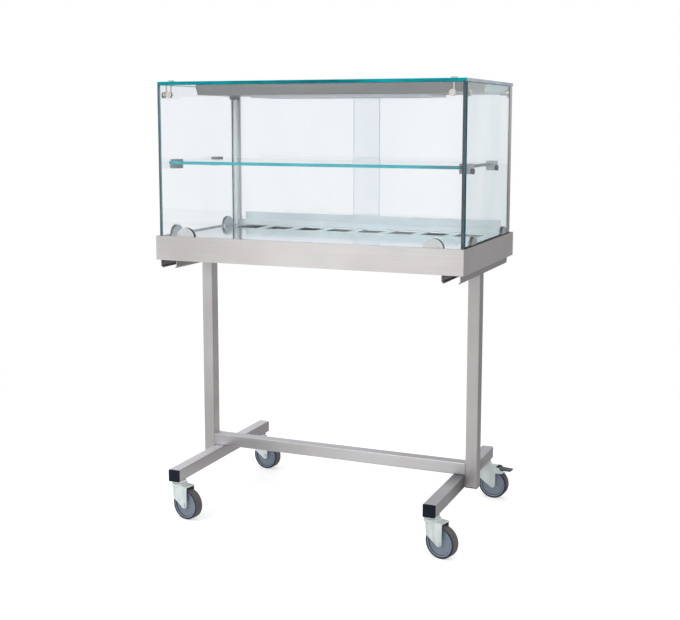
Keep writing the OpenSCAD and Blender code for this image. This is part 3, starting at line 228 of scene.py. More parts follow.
def addNoise(tree, vector, scale, detail=3, roughness=0.55, low=0.3, high=0.7):
    noise = addNode(tree, "ShaderNodeTexNoise")
    noise.inputs["Detail"].default_value = detail
    noise.inputs["Roughness"].default_value = roughness
    tree.links.new(vector, noise.inputs["Vector"])
    feed(tree, scale, noise.inputs["Scale"])
    return spread(tree, noise.outputs["Fac"], low, high)


def addMath(tree, kind, *values):
    node = addNode(tree, "ShaderNodeMath", operation=kind)
    for socket, value in zip(node.inputs, values):
        feed(tree, value, socket)
    return node.outputs["Value"]


def mixColour(tree, factor, first, second, blend="MIX"):
    node = addNode(tree, "ShaderNodeMix", data_type="RGBA", blend_type=blend)
    for index, value in ((0, factor), (6, first), (7, second)):  # the sockets of a mix of colours
        feed(tree, value, node.inputs[index])
    return node.outputs[2]


def addPaintedShade(tree, drift):  # painted shade: a tone that changes with the distance from a level along one axis
    parts = addNode(tree, "ShaderNodeSeparateXYZ")
    tree.links.new(addPlace(tree), parts.inputs["Vector"])
    apart = addMath(tree, "SUBTRACT", parts.outputs[drift["axis"]], drift["level"])
    distance = addMath(tree, "ABSOLUTE", apart)
    return spread(tree, distance, drift["near"], drift["far"], *drift["tones"])


def withPaintedShade(tree, values, colour):  # paints shade into a colour where its values say so
    if "drift" not in values:
        return colour
    return mixColour(tree, addPaintedShade(tree, values["drift"]), (0, 0, 0), colour)


def startMaterial(name):
    material = bpy.data.materials.new(name)
    material.use_nodes = True
    tree = material.node_tree
    return material, tree, tree.nodes["Principled BSDF"]


def endWithMix(tree, factor, first, second):  # two shaders, mixed into the material's surface
    blend = addNode(tree, "ShaderNodeMixShader")
    for socket, value in zip(blend.inputs, (factor, first, second)):
        tree.links.new(value, socket)
    tree.links.new(blend.outputs["Shader"], tree.nodes["Material Output"].inputs["Surface"])


# Grain that many finishes share

def makeBrushedGroup():  # long fine streaks and broad soft blotches
    tree, given, result = makeGroup(
        "brushedGrain",
        {"Stretch": "NodeSocketVector", "Blotch Scale": "NodeSocketFloat"},
        {"Streaks": "NodeSocketFloat", "Blotches": "NodeSocketFloat"})
    streaks = addNoise(tree, addStretched(tree, given.outputs["Stretch"]), 1, detail=4, roughness=0.65)
    blotches = addNoise(tree, addPlace(tree), given.outputs["Blotch Scale"], detail=2, roughness=0.5)
    tree.links.new(streaks, result.inputs["Streaks"])
    tree.links.new(blotches, result.inputs["Blotches"])
    return tree


def makeMouldedGroup():  # a fine pebbled grain with faint mottling
    tree, given, result = makeGroup(
        "mouldedGrain",
        {"Grain Scale": "NodeSocketFloat", "Blotch Scale": "NodeSocketFloat"},
        {"Streaks": "NodeSocketFloat", "Blotches": "NodeSocketFloat"})
    place = addPlace(tree)
    pebbles = addNoise(tree, place, given.outputs["Grain Scale"], roughness=0.6, low=0.35, high=0.65)
    blotches = addNoise(tree, place, given.outputs["Blotch Scale"], detail=2, roughness=0.5)
    tree.links.new(pebbles, result.inputs["Streaks"])
    tree.links.new(blotches, result.inputs["Blotches"])
    return tree


brushedGrain = makeBrushedGroup()
mouldedGrain = makeMouldedGroup()


# Solid finishes

usualValues = {  # what a finish has unless its own values say otherwise
    "shade": (0.9, 0.9, 0.9),
    "metal": 0,
    "coat": 0,
    "gloss": 0.5,
    "clear": 0,
    "relief": 0.0002,
}


def makeFinish(name, ownValues):
    values = {**usualValues, **ownValues}
    material, tree, shader = startMaterial(name)
    grain = addNode(tree, "ShaderNodeGroup")
    if "stretch" in values:
        grain.node_tree = brushedGrain
        grain.inputs["Stretch"].default_value = values["stretch"]
    else:
        grain.node_tree = mouldedGrain
        grain.inputs["Grain Scale"].default_value = values["grain"]
    grain.inputs["Blotch Scale"].default_value = values["blotch"]
    streaks = grain.outputs["Streaks"]
    base = withPaintedShade(tree, values, mixColour(tree, streaks, values["dark"], values["light"]))
    shade = mixColour(tree, grain.outputs["Blotches"], values["shade"], (1, 1, 1))
    tree.links.new(mixColour(tree, 1.0, base, shade, "MULTIPLY"), shader.inputs["Base Color"])
    rough = spread(tree, streaks, 0, 1, *values["rough"])
    tree.links.new(rough, shader.inputs["Roughness"])
    shader.inputs["Metallic"].default_value = values["metal"]
    shader.inputs["Coat Weight"].default_value = values["coat"]
    shader.inputs["Specular IOR Level"].default_value = values["gloss"]
    shader.inputs["Transmission Weight"].default_value = values["clear"]
    bump = addNode(tree, "ShaderNodeBump")
    bump.inputs["Strength"].default_value = values["bump"]
    bump.inputs["Distance"].default_value = values["relief"]
    tree.links.new(streaks, bump.inputs["Height"])
    tree.links.new(bump.outputs["Normal"], shader.inputs["Normal"])
    return material


steel = {
    "light": (0.585, 0.572, 0.568),
    "dark": (0.525, 0.512, 0.508),
    "shade": (0.88, 0.87, 0.87),
    "rough": (0.38, 0.50),
    "metal": 1.0,
    "blotch": 5,
    "bump": 0.12,
    "relief": 0.0001,
}
grainAlong = {  # streaks run along the small number
    "X": (3, 420, 420),
    "Y": (420, 3, 420),
    "Z": (420, 420, 3),
}
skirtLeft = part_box("base_skirt")[0].x
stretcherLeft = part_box("stretcher")[0].x
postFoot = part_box("post_left")[0].z
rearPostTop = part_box("rear_post_right")[1].z
postMiddle = 0  # both posts stand with their middle on Y 0


def tinted(values, share):  # the same finish with a lighter or darker tone
    return {**values, **{key: tuple(part * share for part in values[key]) for key in ("light", "dark")}}


steelX = makeFinish("steelGrainX", {
    **steel, "light": (0.555, 0.56, 0.59), "dark": (0.495, 0.50, 0.53), "stretch": grainAlong["X"]})
steelY = makeFinish("steelGrainY", {
    **steel, "light": (0.52, 0.50, 0.51), "dark": (0.44, 0.425, 0.43), "stretch": grainAlong["Y"]})
# The fascia's steel has painted shade, darker towards its left end
baseSteel = makeFinish("steelFascia", {
    **tinted(steel, 1.25), "stretch": grainAlong["X"],
    "drift": {"axis": "X", "level": skirtLeft, "near": 0.10, "far": 0.45, "tones": (0.82, 1)}})
trimSteel = makeFinish("steelTrim", {
    **steel, "light": (0.94, 0.95, 0.955), "dark": (0.88, 0.90, 0.905), "metal": 0.1,
    "stretch": grainAlong["Z"]})
trackSteel = makeFinish("steelTrack", {
    **steel, "light": (0.78, 0.85, 0.86), "dark": (0.72, 0.79, 0.80), "metal": 0.4,
    "stretch": grainAlong["X"]})
coverSteel = makeFinish("steelCover", {
    **steel, "light": (0.80, 0.82, 0.84), "dark": (0.72, 0.74, 0.76), "metal": 0.2,
    "stretch": grainAlong["X"]})
# Lit and shaded copies of one steel: each post has its own painted tone, and painted shade darkens the rear post
# below its top, the left post near its foot and the right post higher up
rearPostSteel = makeFinish("steelRearPost", {
    **tinted(steel, 1.62), "stretch": grainAlong["Z"],
    "drift": {"axis": "Z", "level": rearPostTop, "near": 0.02, "far": 0.36, "tones": (1, 0.66)}})
leftPostSteel = makeFinish("steelLeftPost", {
    **tinted(steel, 0.92), "stretch": grainAlong["Z"],
    "drift": {"axis": "Z", "level": postFoot, "near": 0.12, "far": 0.36, "tones": (0.82, 1)}})
rightPostSteel = makeFinish("steelRightPost", {
    **tinted(steel, 1.14), "stretch": grainAlong["Z"],
    "drift": {"axis": "Z", "level": postFoot, "near": 0.12, "far": 0.36, "tones": (1, 0.81)}})
# The stretcher's steel has painted shade, darker towards its left end beside the left post
stretcherSteel = makeFinish("steelStretcher", {
    **steel, "light": (0.73, 0.72, 0.73), "dark": (0.65, 0.64, 0.65), "stretch": grainAlong["X"],
    "drift": {"axis": "X", "level": stretcherLeft, "near": 0.16, "far": 0.74, "tones": (0.61, 1)}})
# The right foot's steel is a lighter copy with painted shade and reflection, darker near the post
rightFootSteel = makeFinish("steelRightFoot", {
    **steel, "light": (0.70, 0.675, 0.69), "dark": (0.595, 0.575, 0.58), "stretch": grainAlong["Y"],
    "drift": {"axis": "Y", "level": postMiddle, "near": 0.03, "far": 0.20, "tones": (0.33, 1)}})
blockGrey = makeFinish("blockGrey", {
    **steel, "light": (0.27, 0.29, 0.31), "dark": (0.20, 0.22, 0.24), "metal": 0.8,
    "stretch": grainAlong["Y"]})

finishes = {
    "satin_steel": steelX,
    "zinc_steel": makeFinish("brightZinc", {
        "light": (0.86, 0.90, 0.90), "dark": (0.62, 0.70, 0.70), "rough": (0.30, 0.42), "metal": 0.45,
        "stretch": (75, 75, 9), "blotch": 25, "bump": 0.05}),
    "black_plastic": makeFinish("blackPlastic", {
        "light": (0.006, 0.009, 0.020), "dark": (0.004, 0.006, 0.014), "rough": (0.5, 0.65),
        "gloss": 0.2, "grain": 900, "blotch": 40, "bump": 0.2}),
    "hub_plastic": makeFinish("hubPlastic", {
        "light": (0.25, 0.30, 0.37), "dark": (0.19, 0.235, 0.30), "rough": (0.45, 0.6),
        "grain": 500, "blotch": 40, "bump": 0.15}),
    "tyre_rubber": makeFinish("tyreRubber", {
        "light": (0.040, 0.052, 0.088), "dark": (0.025, 0.034, 0.060), "rough": (0.55, 0.75),
        "gloss": 0.35, "grain": 700, "blotch": 50, "bump": 0.3}),
    "pedal_paint": makeFinish("pedalPlastic", {
        "light": (0.075, 0.085, 0.115), "dark": (0.05, 0.06, 0.085), "rough": (0.4, 0.55),
        "grain": 600, "blotch": 60, "bump": 0.2}),
    # the mirror deck has painted shade, darker towards its left end
    "deck_steel": makeFinish("deckMirror", {
        "light": (0.78, 0.865, 0.89), "dark": (0.65, 0.735, 0.77), "rough": (0.06, 0.12), "metal": 1.0,
        "stretch": (2, 160, 160), "blotch": 6, "bump": 0.02,
        "drift": {"axis": "X", "level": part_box("deck_plate")[0].x, "near": 0.10, "far": 0.45,
            "tones": (0.64, 1)}}),
    "heater_steel": makeFinish("heaterSheath", {
        "light": (0.26, 0.27, 0.29), "dark": (0.15, 0.155, 0.17), "rough": (0.4, 0.6), "metal": 0.8,
        "grain": 300, "blotch": 20, "bump": 0.15}),
    "rocker_red": makeFinish("rockerRed", {
        "light": (0.52, 0.02, 0.015), "dark": (0.42, 0.015, 0.01), "rough": (0.2, 0.3), "coat": 0.4,
        "grain": 400, "blotch": 60, "bump": 0.05}),
    "pilot_amber": makeFinish("pilotAmber", {
        "light": (0.80, 0.28, 0.02), "dark": (0.66, 0.20, 0.01), "rough": (0.1, 0.2), "coat": 0.6,
        "clear": 0.4, "grain": 300, "blotch": 80, "bump": 0.05}),
    "wire_grey": makeFinish("wireJacket", {
        "light": (0.34, 0.35, 0.37), "dark": (0.27, 0.28, 0.30), "rough": (0.45, 0.6),
        "grain": 500, "blotch": 30, "bump": 0.1}),
    "black_seal": makeFinish("blackSeal", {
        "light": (0.012, 0.018, 0.024), "dark": (0.007, 0.011, 0.015), "rough": (0.5, 0.7),
        "grain": 800, "blotch": 30, "bump": 0.2}),
    "clamp_satin": makeFinish("clampSatin", {
        "light": (0.66, 0.68, 0.69), "dark": (0.58, 0.60, 0.61), "rough": (0.3, 0.45), "metal": 1.0,
        "stretch": (500, 500, 12), "blotch": 40, "bump": 0.12, "relief": 0.0001}),
    "pale_connector": makeFinish("paleConnector", {
        "light": (0.66, 0.635, 0.60), "dark": (0.54, 0.515, 0.48), "rough": (0.35, 0.5),
        "grain": 500, "blotch": 60, "bump": 0.1}),
    "canopy_grey": makeFinish("canopySheet", {
        "light": (0.215, 0.215, 0.21), "dark": (0.165, 0.165, 0.16), "rough": (0.32, 0.45), "metal": 0.5,
        "stretch": (3, 380, 380), "blotch": 4, "bump": 0.1, "relief": 0.0001}),
    "tray_white": makeFinish("trayEnamel", {
        "light": (0.91, 0.94, 0.97), "dark": (0.85, 0.88, 0.92), "rough": (0.25, 0.4), "coat": 0.5,
        "grain": 300, "blotch": 12, "bump": 0.06}),
}
print("solid finishes made")


# Glass

glassIndex = 1.45  # how strongly glass bends light


def makeGlass(name, values):  # see-through glass with faint clouding, open to the lamps' light
    material, tree, shader = startMaterial(name)
    clouded = addStretched(tree, values["cloud"])
    cloud = addNoise(tree, clouded, 1, roughness=0.5, low=0.35, high=0.65)
    tree.links.new(mixColour(tree, cloud, values["dark"], values["light"]), shader.inputs["Base Color"])
    smoothest, roughest = values["rough"]
    tree.links.new(spread(tree, cloud, 0, 1, roughest, smoothest), shader.inputs["Roughness"])
    shader.inputs["Transmission Weight"].default_value = values.get("clear", 1)
    shader.inputs["IOR"].default_value = glassIndex
    # Lamp light passes straight through the pane, less its tint
    path = addNode(tree, "ShaderNodeLightPath")
    straight = addNode(tree, "ShaderNodeBsdfTransparent")
    feed(tree, values["shadow"], straight.inputs["Color"])
    endWithMix(tree, path.outputs["Is Shadow Ray"], shader.outputs["BSDF"], straight.outputs["BSDF"])
    return material


edgeSurface = {
    "rough": (0.6, 0.4),
    "gloss": 0.05,
}


def makeGlassEdge(name, values):  # a ground edge, tinted by the depth of glass behind it
    material, tree, shader = startMaterial(name)
    depth = addNoise(tree, addStretched(tree, values["stretch"]), 1, detail=4, roughness=0.6)
    base = withPaintedShade(tree, values, mixColour(tree, depth, values["deep"], values["bright"]))
    tree.links.new(base, shader.inputs["Base Color"])
    tree.links.new(spread(tree, depth, 0, 1, *edgeSurface["rough"]), shader.inputs["Roughness"])
    shader.inputs["Specular IOR Level"].default_value = edgeSurface["gloss"]
    return material


finishes["clear_glass"] = makeGlass("clearGlass", {
    "light": (0.945, 0.958, 0.970), "dark": (0.905, 0.927, 0.947), "shadow": (0.965, 0.975, 0.98),
    "cloud": (4, 4, 1.2), "rough": (0.0, 0.03)})
tintedGlass = makeGlass("tintedGlass", {
    "light": (0.93, 0.965, 0.975), "dark": (0.80, 0.885, 0.91), "shadow": (0.94, 0.97, 0.975),
    "cloud": (4, 4, 1.6), "rough": (0.0, 0.03)})
finishes["lamp_quartz"] = makeGlass("lampQuartz", {
    "light": (0.95, 0.94, 0.90), "dark": (0.88, 0.87, 0.83), "shadow": (0.8, 0.8, 0.78),
    "cloud": (30, 30, 30), "rough": (0.3, 0.5), "clear": 0.6})
finishes["guard_glass"] = makeGlass("guardGlass", {
    "light": (0.72, 0.78, 0.84), "dark": (0.64, 0.71, 0.77), "shadow": (0.7, 0.75, 0.8),
    "cloud": (8, 8, 8), "rough": (0.25, 0.4), "clear": 0.5})
# Beyond the teal of the glass itself, these edge finishes paint light and shade: one glass gets darker, paler and
# brighter edges by pane and side, and the bright edge has painted shade towards the shelf's right end
edgeTeal = makeGlassEdge("edgeTeal", {
    "deep": (0.0, 0.12, 0.145), "bright": (0.0, 0.37, 0.41), "stretch": (7, 40, 90)})
edgeDeep = makeGlassEdge("edgeDeep", {
    "deep": (0.005, 0.035, 0.047), "bright": (0.035, 0.115, 0.14), "stretch": (90, 90, 9)})
edgePale = makeGlassEdge("edgePale", {
    "deep": (0.10, 0.27, 0.31), "bright": (0.22, 0.42, 0.46), "stretch": (90, 90, 9)})
edgeSoft = makeGlassEdge("edgeSoft", {
    "deep": (0.08, 0.175, 0.205), "bright": (0.19, 0.30, 0.335), "stretch": (90, 90, 9)})
edgeSlate = makeGlassEdge("edgeSlate", {
    "deep": (0.32, 0.38, 0.42), "bright": (0.50, 0.57, 0.62), "stretch": (90, 9, 90)})
edgeMist = makeGlassEdge("edgeMist", {
    "deep": (0.50, 0.62, 0.66), "bright": (0.68, 0.78, 0.81), "stretch": (90, 90, 9)})
edgeFaint = makeGlassEdge("edgeFaint", {
    "deep": (0.78, 0.86, 0.88), "bright": (0.91, 0.95, 0.96), "stretch": (90, 90, 9)})
edgeBright = makeGlassEdge("edgeBright", {
    "deep": (0.01, 0.31, 0.35), "bright": (0.06, 0.44, 0.49), "stretch": (6, 40, 90),
    "drift": {"axis": "X", "level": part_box("shelf_glass")[1].x, "near": 0.06, "far": 0.16,
        "tones": (0.55, 1)}})
print("glass made")


# Painting

def paint(piece, material):  # one finish all over
    piece.data.materials.clear()
    piece.data.materials.append(material)


def refinish(piece, material, wanted):  # another finish on the faces that wanted picks
    piece.data.materials.append(material)
    for face in piece.data.polygons:
        if wanted(face):
            face.material_index = len(piece.data.materials) - 1


ownFinish = {
    "foot_left": steelY,
    "foot_right": rightFootSteel,
    "post_left": leftPostSteel,
    "post_right": rightPostSteel,
    "stretcher": stretcherSteel,
    "support_channel_left": steelY,
    "support_channel_right": steelY,
    "base_skirt": baseSteel,
    "base_bottom_cover": coverSteel,
    "rear_post_left": trimSteel,
    "rear_post_right": rearPostSteel,
    "door_track_lower": trackSteel,
    "door_rail_left": trackSteel,
    "door_rail_right": trackSteel,
    "shelf_clamps": blockGrey,
}
for nodeName, slot in slotOf.items():
    paint(cadNodes[nodeName], ownFinish.get(nodeName, finishes[slot]))
print("frame dressed")


# Glass panes

paneValues = {
    "arris": 0.0009,  # width of the ground corner along each edge
    "arrisSteps": 2,
    "joint": 0.0003,  # clear space around each edge, so that the ends of two panes both show
}
edgeFacing = {
    "left": Vector((-1, 0, 0)),
    "right": Vector((1, 0, 0)),
    "front": Vector((0, -1, 0)),
    "rear": Vector((0, 1, 0)),
    "foot": -up,
}


def makePane(name, nodeName, edge, glass=finishes["clear_glass"], **ownEdges):
    low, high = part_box(nodeName)
    size = high - low
    thin = min(range(3), key=lambda index: size[index])  # the axis through the pane
    slack = Vector([0 if index == thin else paneValues["joint"] for index in range(3)])
    pane = addBox(name, low + slack, high - slack)
    startEdit(pane)
    bpy.ops.mesh.select_all(action="SELECT")
    bpy.ops.mesh.bevel(offset=paneValues["arris"], segments=paneValues["arrisSteps"], affect="EDGES")
    endEdit()
    paint(pane, glass)
    for material in (edge, *ownEdges.values()):  # ownEdges names a side and its edge's finish
        pane.data.materials.append(material)
    for face in pane.data.polygons:
        if abs(face.normal[thin]) > squareOn:
            continue
        face.material_index = 1
        for index, side in enumerate(ownEdges, 2):
            if face.normal.dot(edgeFacing[side]) > partlyOn:
                face.material_index = index
    standFor(pane, nodeName)


# The panes' edges carry the painted light and shade of their edge finishes
makePane("frontPane", "front_glass", edgeDeep, left=edgeSoft)
makePane("sidePaneLeft", "side_glass_left", edgePale, front=edgeSoft, rear=edgeDeep, foot=edgeMist)
makePane("sidePaneRight", "side_glass_right", edgeDeep, glass=tintedGlass)
makePane("topPane", "top_glass", edgeTeal, right=edgeSlate)
makePane("shelfPane", "shelf_glass", edgeBright, right=edgeDeep)
makePane("doorPaneLeft", "sliding_door_left", edgeFaint)
makePane("doorPaneRight", "sliding_door_right", edgeFaint)
print("panes made")


# Nodes that keep their shape, with their edges eased

easedWidths = {
    "base_skirt": 0.0007, "deck_plate": 0.0006, "base_bottom_cover": 0.0005,
    "stretcher": 0.0004, "support_channel_left": 0.0006, "support_channel_right": 0.0006,
    "rear_post_left": 0.0004, "rear_post_right": 0.0004,
    "canopy_housing": 0.0006, "canopy_brackets": 0.0005, "lamp_tray": 0.0005,
    "glass_clamps": 0.0007, "shelf_clamps": 0.0009, "corner_connectors": 0.0009,
    "caster_fork_front_left": 0.0005, "caster_fork_front_right": 0.0005,
    "caster_fork_rear_left": 0.0005, "caster_fork_rear_right": 0.0005,
    "brake_pedal": 0.0008, "thermostat": 0.0006, "thermostat_knob": 0.0008,
    "fan_frames": 0.0006, "power_inlet": 0.0006, "switch_bodies": 0.0005,
    "power_rocker": 0.0004, "light_rocker": 0.0004,
    "door_rail_left": 0.0004, "door_rail_right": 0.0004,
    "door_track_lower": 0.0004, "door_track_upper": 0.0004,
}


def joinWords(words, last):  # base_skirt and Eased make baseSkirtEased
    first, *rest = words.split("_")
    return first + "".join(word.capitalize() for word in rest) + last


eased = {}
for nodeName, width in easedWidths.items():
    eased[nodeName] = softCopy(nodeName, joinWords(nodeName, "Eased"), width)
    standFor(eased[nodeName], nodeName)
print("edges eased")


# The seal under the left side pane is of the pale kind, and its upright strip is black

paleSeal = makeFinish("paleSeal", {
    "light": (0.76, 0.85, 0.86), "dark": (0.66, 0.76, 0.77), "rough": (0.3, 0.45),
    "grain": 500, "blotch": 30, "bump": 0.1})
sealReach = 0.002  # how far the seal stands out beyond the pane
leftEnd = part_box("side_glass_left")[1].x + sealReach
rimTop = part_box("base_skirt")[1].z
refinish(cadNodes["glass_seals"], paleSeal,
    lambda face: face.center.x < leftEnd and face.center.z < rimTop)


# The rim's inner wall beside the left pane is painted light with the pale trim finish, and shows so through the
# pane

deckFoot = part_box("deck_plate")[0].z
refinish(eased["base_skirt"], trimSteel,
    lambda face: face.center.x < leftEnd and face.center.z > deckFoot and face.normal.x > partlyOn)


# The rims of the half-round clamps are painted with shade, darker than their flat faces

clampRim = makeFinish("clampRim", {
    **steel, "light": (0.20, 0.21, 0.22), "dark": (0.14, 0.15, 0.16), "stretch": grainAlong["Z"]})
clampFlat = 0.985  # how much of its normal a flat face has along X or Y
refinish(eased["glass_clamps"], clampRim,
    lambda face: max(abs(face.normal.x), abs(face.normal.y)) < clampFlat)


# The canopy's end plates are painted light, brighter than its sheet, and the right one shows so through the pane

canopyEnd = makeFinish("canopyEnd", {
    "light": (0.52, 0.65, 0.69), "dark": (0.46, 0.58, 0.62), "rough": (0.32, 0.45), "metal": 0.3,
    "stretch": (380, 3, 380), "blotch": 4, "bump": 0.1, "relief": 0.0001})
refinish(eased["canopy_housing"], canopyEnd, lambda face: abs(face.normal.x) > nearlyOn)


# The tubes' tops are painted lighter than their sides, as painted light; the stretcher's top gets painted shade
# towards its right, and the right foot's top is darker, with painted shade near the post

topSteel = {
    **steel, "light": (0.88, 0.88, 0.92), "dark": (0.79, 0.79, 0.83), "stretch": grainAlong["Y"]}
litTop = makeFinish("steelGroundTop", topSteel)
stretcherTop = makeFinish("steelStretcherTop", {
    **tinted(topSteel, 0.86),
    "drift": {"axis": "X", "level": stretcherLeft, "near": 0.40, "far": 0.85, "tones": (1, 0.82)}})
shadedTop = makeFinish("steelDullTop", {
    **tinted(topSteel, 0.74),
    "drift": {"axis": "Y", "level": postMiddle, "near": 0.05, "far": 0.16, "tones": (0.32, 1)}})
tubeTops = (
    (cadNodes["foot_left"], litTop),
    (cadNodes["foot_right"], shadedTop),
    (eased["stretcher"], stretcherTop),
)
for tube, finish in tubeTops:
    refinish(tube, finish, lambda face: face.normal.z > nearlyOn)


# The left post's inner side is painted lighter than its front, as painted light

litSideSteel = makeFinish("steelPostSide", {**tinted(steel, 1.22), "stretch": grainAlong["Z"]})
refinish(cadNodes["post_left"], litSideSteel, lambda face: face.normal.x > nearlyOn)


# The black seal of the right side pane stands up between the pane and the rim

lipValues = {
    "gap": 0.0002,
    "rim": 0.0018,  # the folded rim that the lip stays inside
    "height": 0.0056,
    "slope": 0.0016,  # how much lower its outer edge lies
    "edge": 0.0004,
    "angle": 15,  # degrees from which an edge is rounded
}


def makeLip(name, paneNode):
    paneLow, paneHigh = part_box(paneNode)
    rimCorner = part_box("base_skirt")[1]
    low = Vector((paneHigh.x + lipValues["gap"], paneLow.y, paneLow.z))
    high = Vector((rimCorner.x - lipValues["rim"], paneHigh.y, rimCorner.z + lipValues["height"]))
    lip = addBox(name, low, high)
    startEdit(lip, "EDGE")
    pickEdges(lip, lambda first, second: min(first.x, second.x) > high.x - sameSpot
        and min(first.z, second.z) > high.z - sameSpot)
    bpy.ops.transform.translate(value=(0, 0, -lipValues["slope"]))
    endEdit()
    roundEdges(lip, lipValues["edge"], degrees=lipValues["angle"])
    paint(lip, finishes["black_seal"])
    settle(lip, "frame", "black_seal")


makeLip("paneLipRight", "side_glass_right")


# A dark bead of glue fills the front right corner

beadValues = {
    "gap": 0.0002,
    "width": 0.0046,
    "depth": 0.0024,
    "slant": 0.0018,
    "slantSteps": 3,
    "edge": 0.0002,
}


def makeBead(name, frontNode, sideNode):
    sideLow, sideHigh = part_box(sideNode)
    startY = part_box(frontNode)[1].y + beadValues["gap"]
    endX = sideLow.x - beadValues["gap"]
    low = Vector((endX - beadValues["width"], startY, sideLow.z))
    high = Vector((endX, startY + beadValues["depth"], sideHigh.z))
    bead = addBox(name, low, high)
    startEdit(bead, "EDGE")
    pickEdges(bead, lambda first, second: max(first.x, second.x) < low.x + sameSpot
        and min(first.y, second.y) > high.y - sameSpot)
    bpy.ops.mesh.bevel(offset=beadValues["slant"], segments=beadValues["slantSteps"], affect="EDGES")
    endEdit()
    roundEdges(bead, beadValues["edge"])
    paint(bead, finishes["black_seal"])
    settle(bead, "frame", "black_seal")


makeBead("cornerBeadRight", "front_glass", "side_glass_right")
print("seals, rims and tops made")


# Black caps in the tube ends, one pattern and its copies

capValues = {
    "side": 0.040,
    "plate": 0.003,
    "corner": 0.003,
    "cornerSteps": 4,
    "rim": 0.0026,
    "dish": 0.0006,  # how deep the middle of the cap lies
    "plugInset": 0.0035,
    "plugDepth": 0.012,
    "edge": 0.0007,
}


def makeCapPattern():  # looks up, with the tube's end at the origin
    half = capValues["side"] / 2
    cap = addBox("capPattern", Vector((-half, -half, 0)), Vector((half, half, capValues["plate"])))
    startEdit(cap, "EDGE")
    pickEdges(cap, lambda first, second: abs(first.z - second.z) > sameSpot)
    bpy.ops.mesh.bevel(offset=capValues["corner"], segments=capValues["cornerSteps"], affect="EDGES")
    bpy.ops.mesh.select_mode(type="FACE")
    pickFacing(cap, up)
    bpy.ops.mesh.inset(thickness=capValues["rim"])
    bpy.ops.transform.translate(value=up * -capValues["dish"])
    pickFacing(cap, -up)
    bpy.ops.mesh.inset(thickness=capValues["plugInset"])
    bpy.ops.mesh.extrude_region_move(TRANSFORM_OT_translate={"value": up * -capValues["plugDepth"]})
    endEdit()
    roundEdges(cap, capValues["edge"])
    paint(cap, finishes["black_plastic"])
    return cap


def placeAlong(middle, direction):  # the place of a pattern that then looks in a direction
    return Matrix.Translation(middle) @ turnTo(direction).to_matrix().to_4x4()


def placeCap(name, x, y, z, outward):
    cap = copyTo(capPattern, name, placeAlong((x, y, z), outward))
    settle(cap, "frame", "black_plastic", "tube_end_caps")


capPattern = makeCapPattern()
for side in ("left", "right"):
    low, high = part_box("foot_" + side)
    middle = (low + high) / 2
    placeCap("footCapFront" + side.title(), middle.x, low.y, middle.z, (0, -1, 0))
    placeCap("footCapRear" + side.title(), middle.x, high.y, middle.z, (0, 1, 0))
    low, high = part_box("post_" + side)
    middle = (low + high) / 2
    placeCap("postCap" + side.title(), middle.x, middle.y, low.z, (0, 0, -1))
bpy.data.objects.remove(capPattern)
print("caps made")


# Caster wheels, one tyre and one hub and their copies

tread = makeFinish("treadRubber", {
    "light": (0.150, 0.130, 0.130), "dark": (0.092, 0.079, 0.081), "rough": (0.6, 0.8),
    "gloss": 0.3, "stretch": (60, 60, 900), "blotch": 60, "bump": 0.3})
# The hub's rim is painted lighter as a painted highlight, and the well inside it darker as painted shade
hubRim = makeFinish("hubRim", {
    "light": (0.58, 0.66, 0.73), "dark": (0.48, 0.56, 0.63), "rough": (0.35, 0.5),
    "grain": 400, "blotch": 40, "bump": 0.1})
hubWell = makeFinish("hubWell", {
    "light": (0.105, 0.125, 0.165), "dark": (0.075, 0.092, 0.125), "rough": (0.5, 0.65),
    "grain": 500, "blotch": 40, "bump": 0.1})
tyreValues = {
    "sides": 72,
    "shoulder": 0.0034,
    "shoulderSteps": 4,
    "wall": 0.0016,  # from the shoulder to the rib
    "rib": 0.0008,
    "ribHeight": 0.0005,
    "ribFoot": 0.0006,
    "treadEdge": 0.0003,  # how far the tread's colour reaches into the shoulder
    "angle": 40,  # degrees up to which an edge is shaded smooth
}
hubValues = {
    "behindTyre": 0.0015,  # how far the rim lies behind the tyre's wall
    "rim": 0.0018,
    "rimFoot": 0.0022,
    "dish": 0.0052,  # how far the web lies behind the rim
    "collar": 0.0170,
    "collarFoot": 0.0012,
    "collarRise": 0.0012,
    "boss": 0.0110,
    "bore": 0.00405,
    "edge": 0.0004,
    "angle": 50,  # degrees from which an edge is rounded
}


def closeBore(piece):  # joins the two open rings left by the deleted end faces
    bpy.ops.mesh.select_mode(type="EDGE")
    bpy.ops.mesh.select_all(action="DESELECT")
    bpy.ops.mesh.select_non_manifold()
    bpy.ops.mesh.bridge_edge_loops()
    bpy.ops.mesh.select_all(action="SELECT")
    bpy.ops.mesh.normals_make_consistent(inside=False)


def offAxis(point):
    return point.xy.length


def makeTyrePattern(radius, width, bore):  # its axle stands upright at the origin
    step = tyreValues
    tyre = addRound("tyrePattern", (0, 0, 0), up, radius, width - 2 * step["ribHeight"], step["sides"])
    startEdit(tyre)
    for out in (up, -up):
        pickFacing(tyre, out)
        bpy.ops.mesh.inset(thickness=step["shoulder"] + step["wall"])
        bpy.ops.transform.translate(value=out * step["ribHeight"])
        bpy.ops.mesh.inset(thickness=step["rib"])
        bpy.ops.mesh.inset(thickness=step["ribFoot"])
        bpy.ops.transform.translate(value=out * -step["ribHeight"])
        reached = step["shoulder"] + step["wall"] + step["rib"] + step["ribFoot"]
        bpy.ops.mesh.inset(thickness=radius - bore - reached)
        bpy.ops.mesh.delete(type="FACE")
    closeBore(tyre)
    pickEdges(tyre, lambda first, second: abs(first.z - second.z) < sameSpot
        and min(offAxis(first), offAxis(second)) > radius - sameSpot)
    bpy.ops.mesh.bevel(offset=step["shoulder"], segments=step["shoulderSteps"], affect="EDGES")
    endEdit()
    smooth(tyre, step["angle"])
    paint(tyre, finishes["tyre_rubber"])
    refinish(tyre, tread, lambda face: offAxis(face.center) > radius - step["treadEdge"])
    return tyre


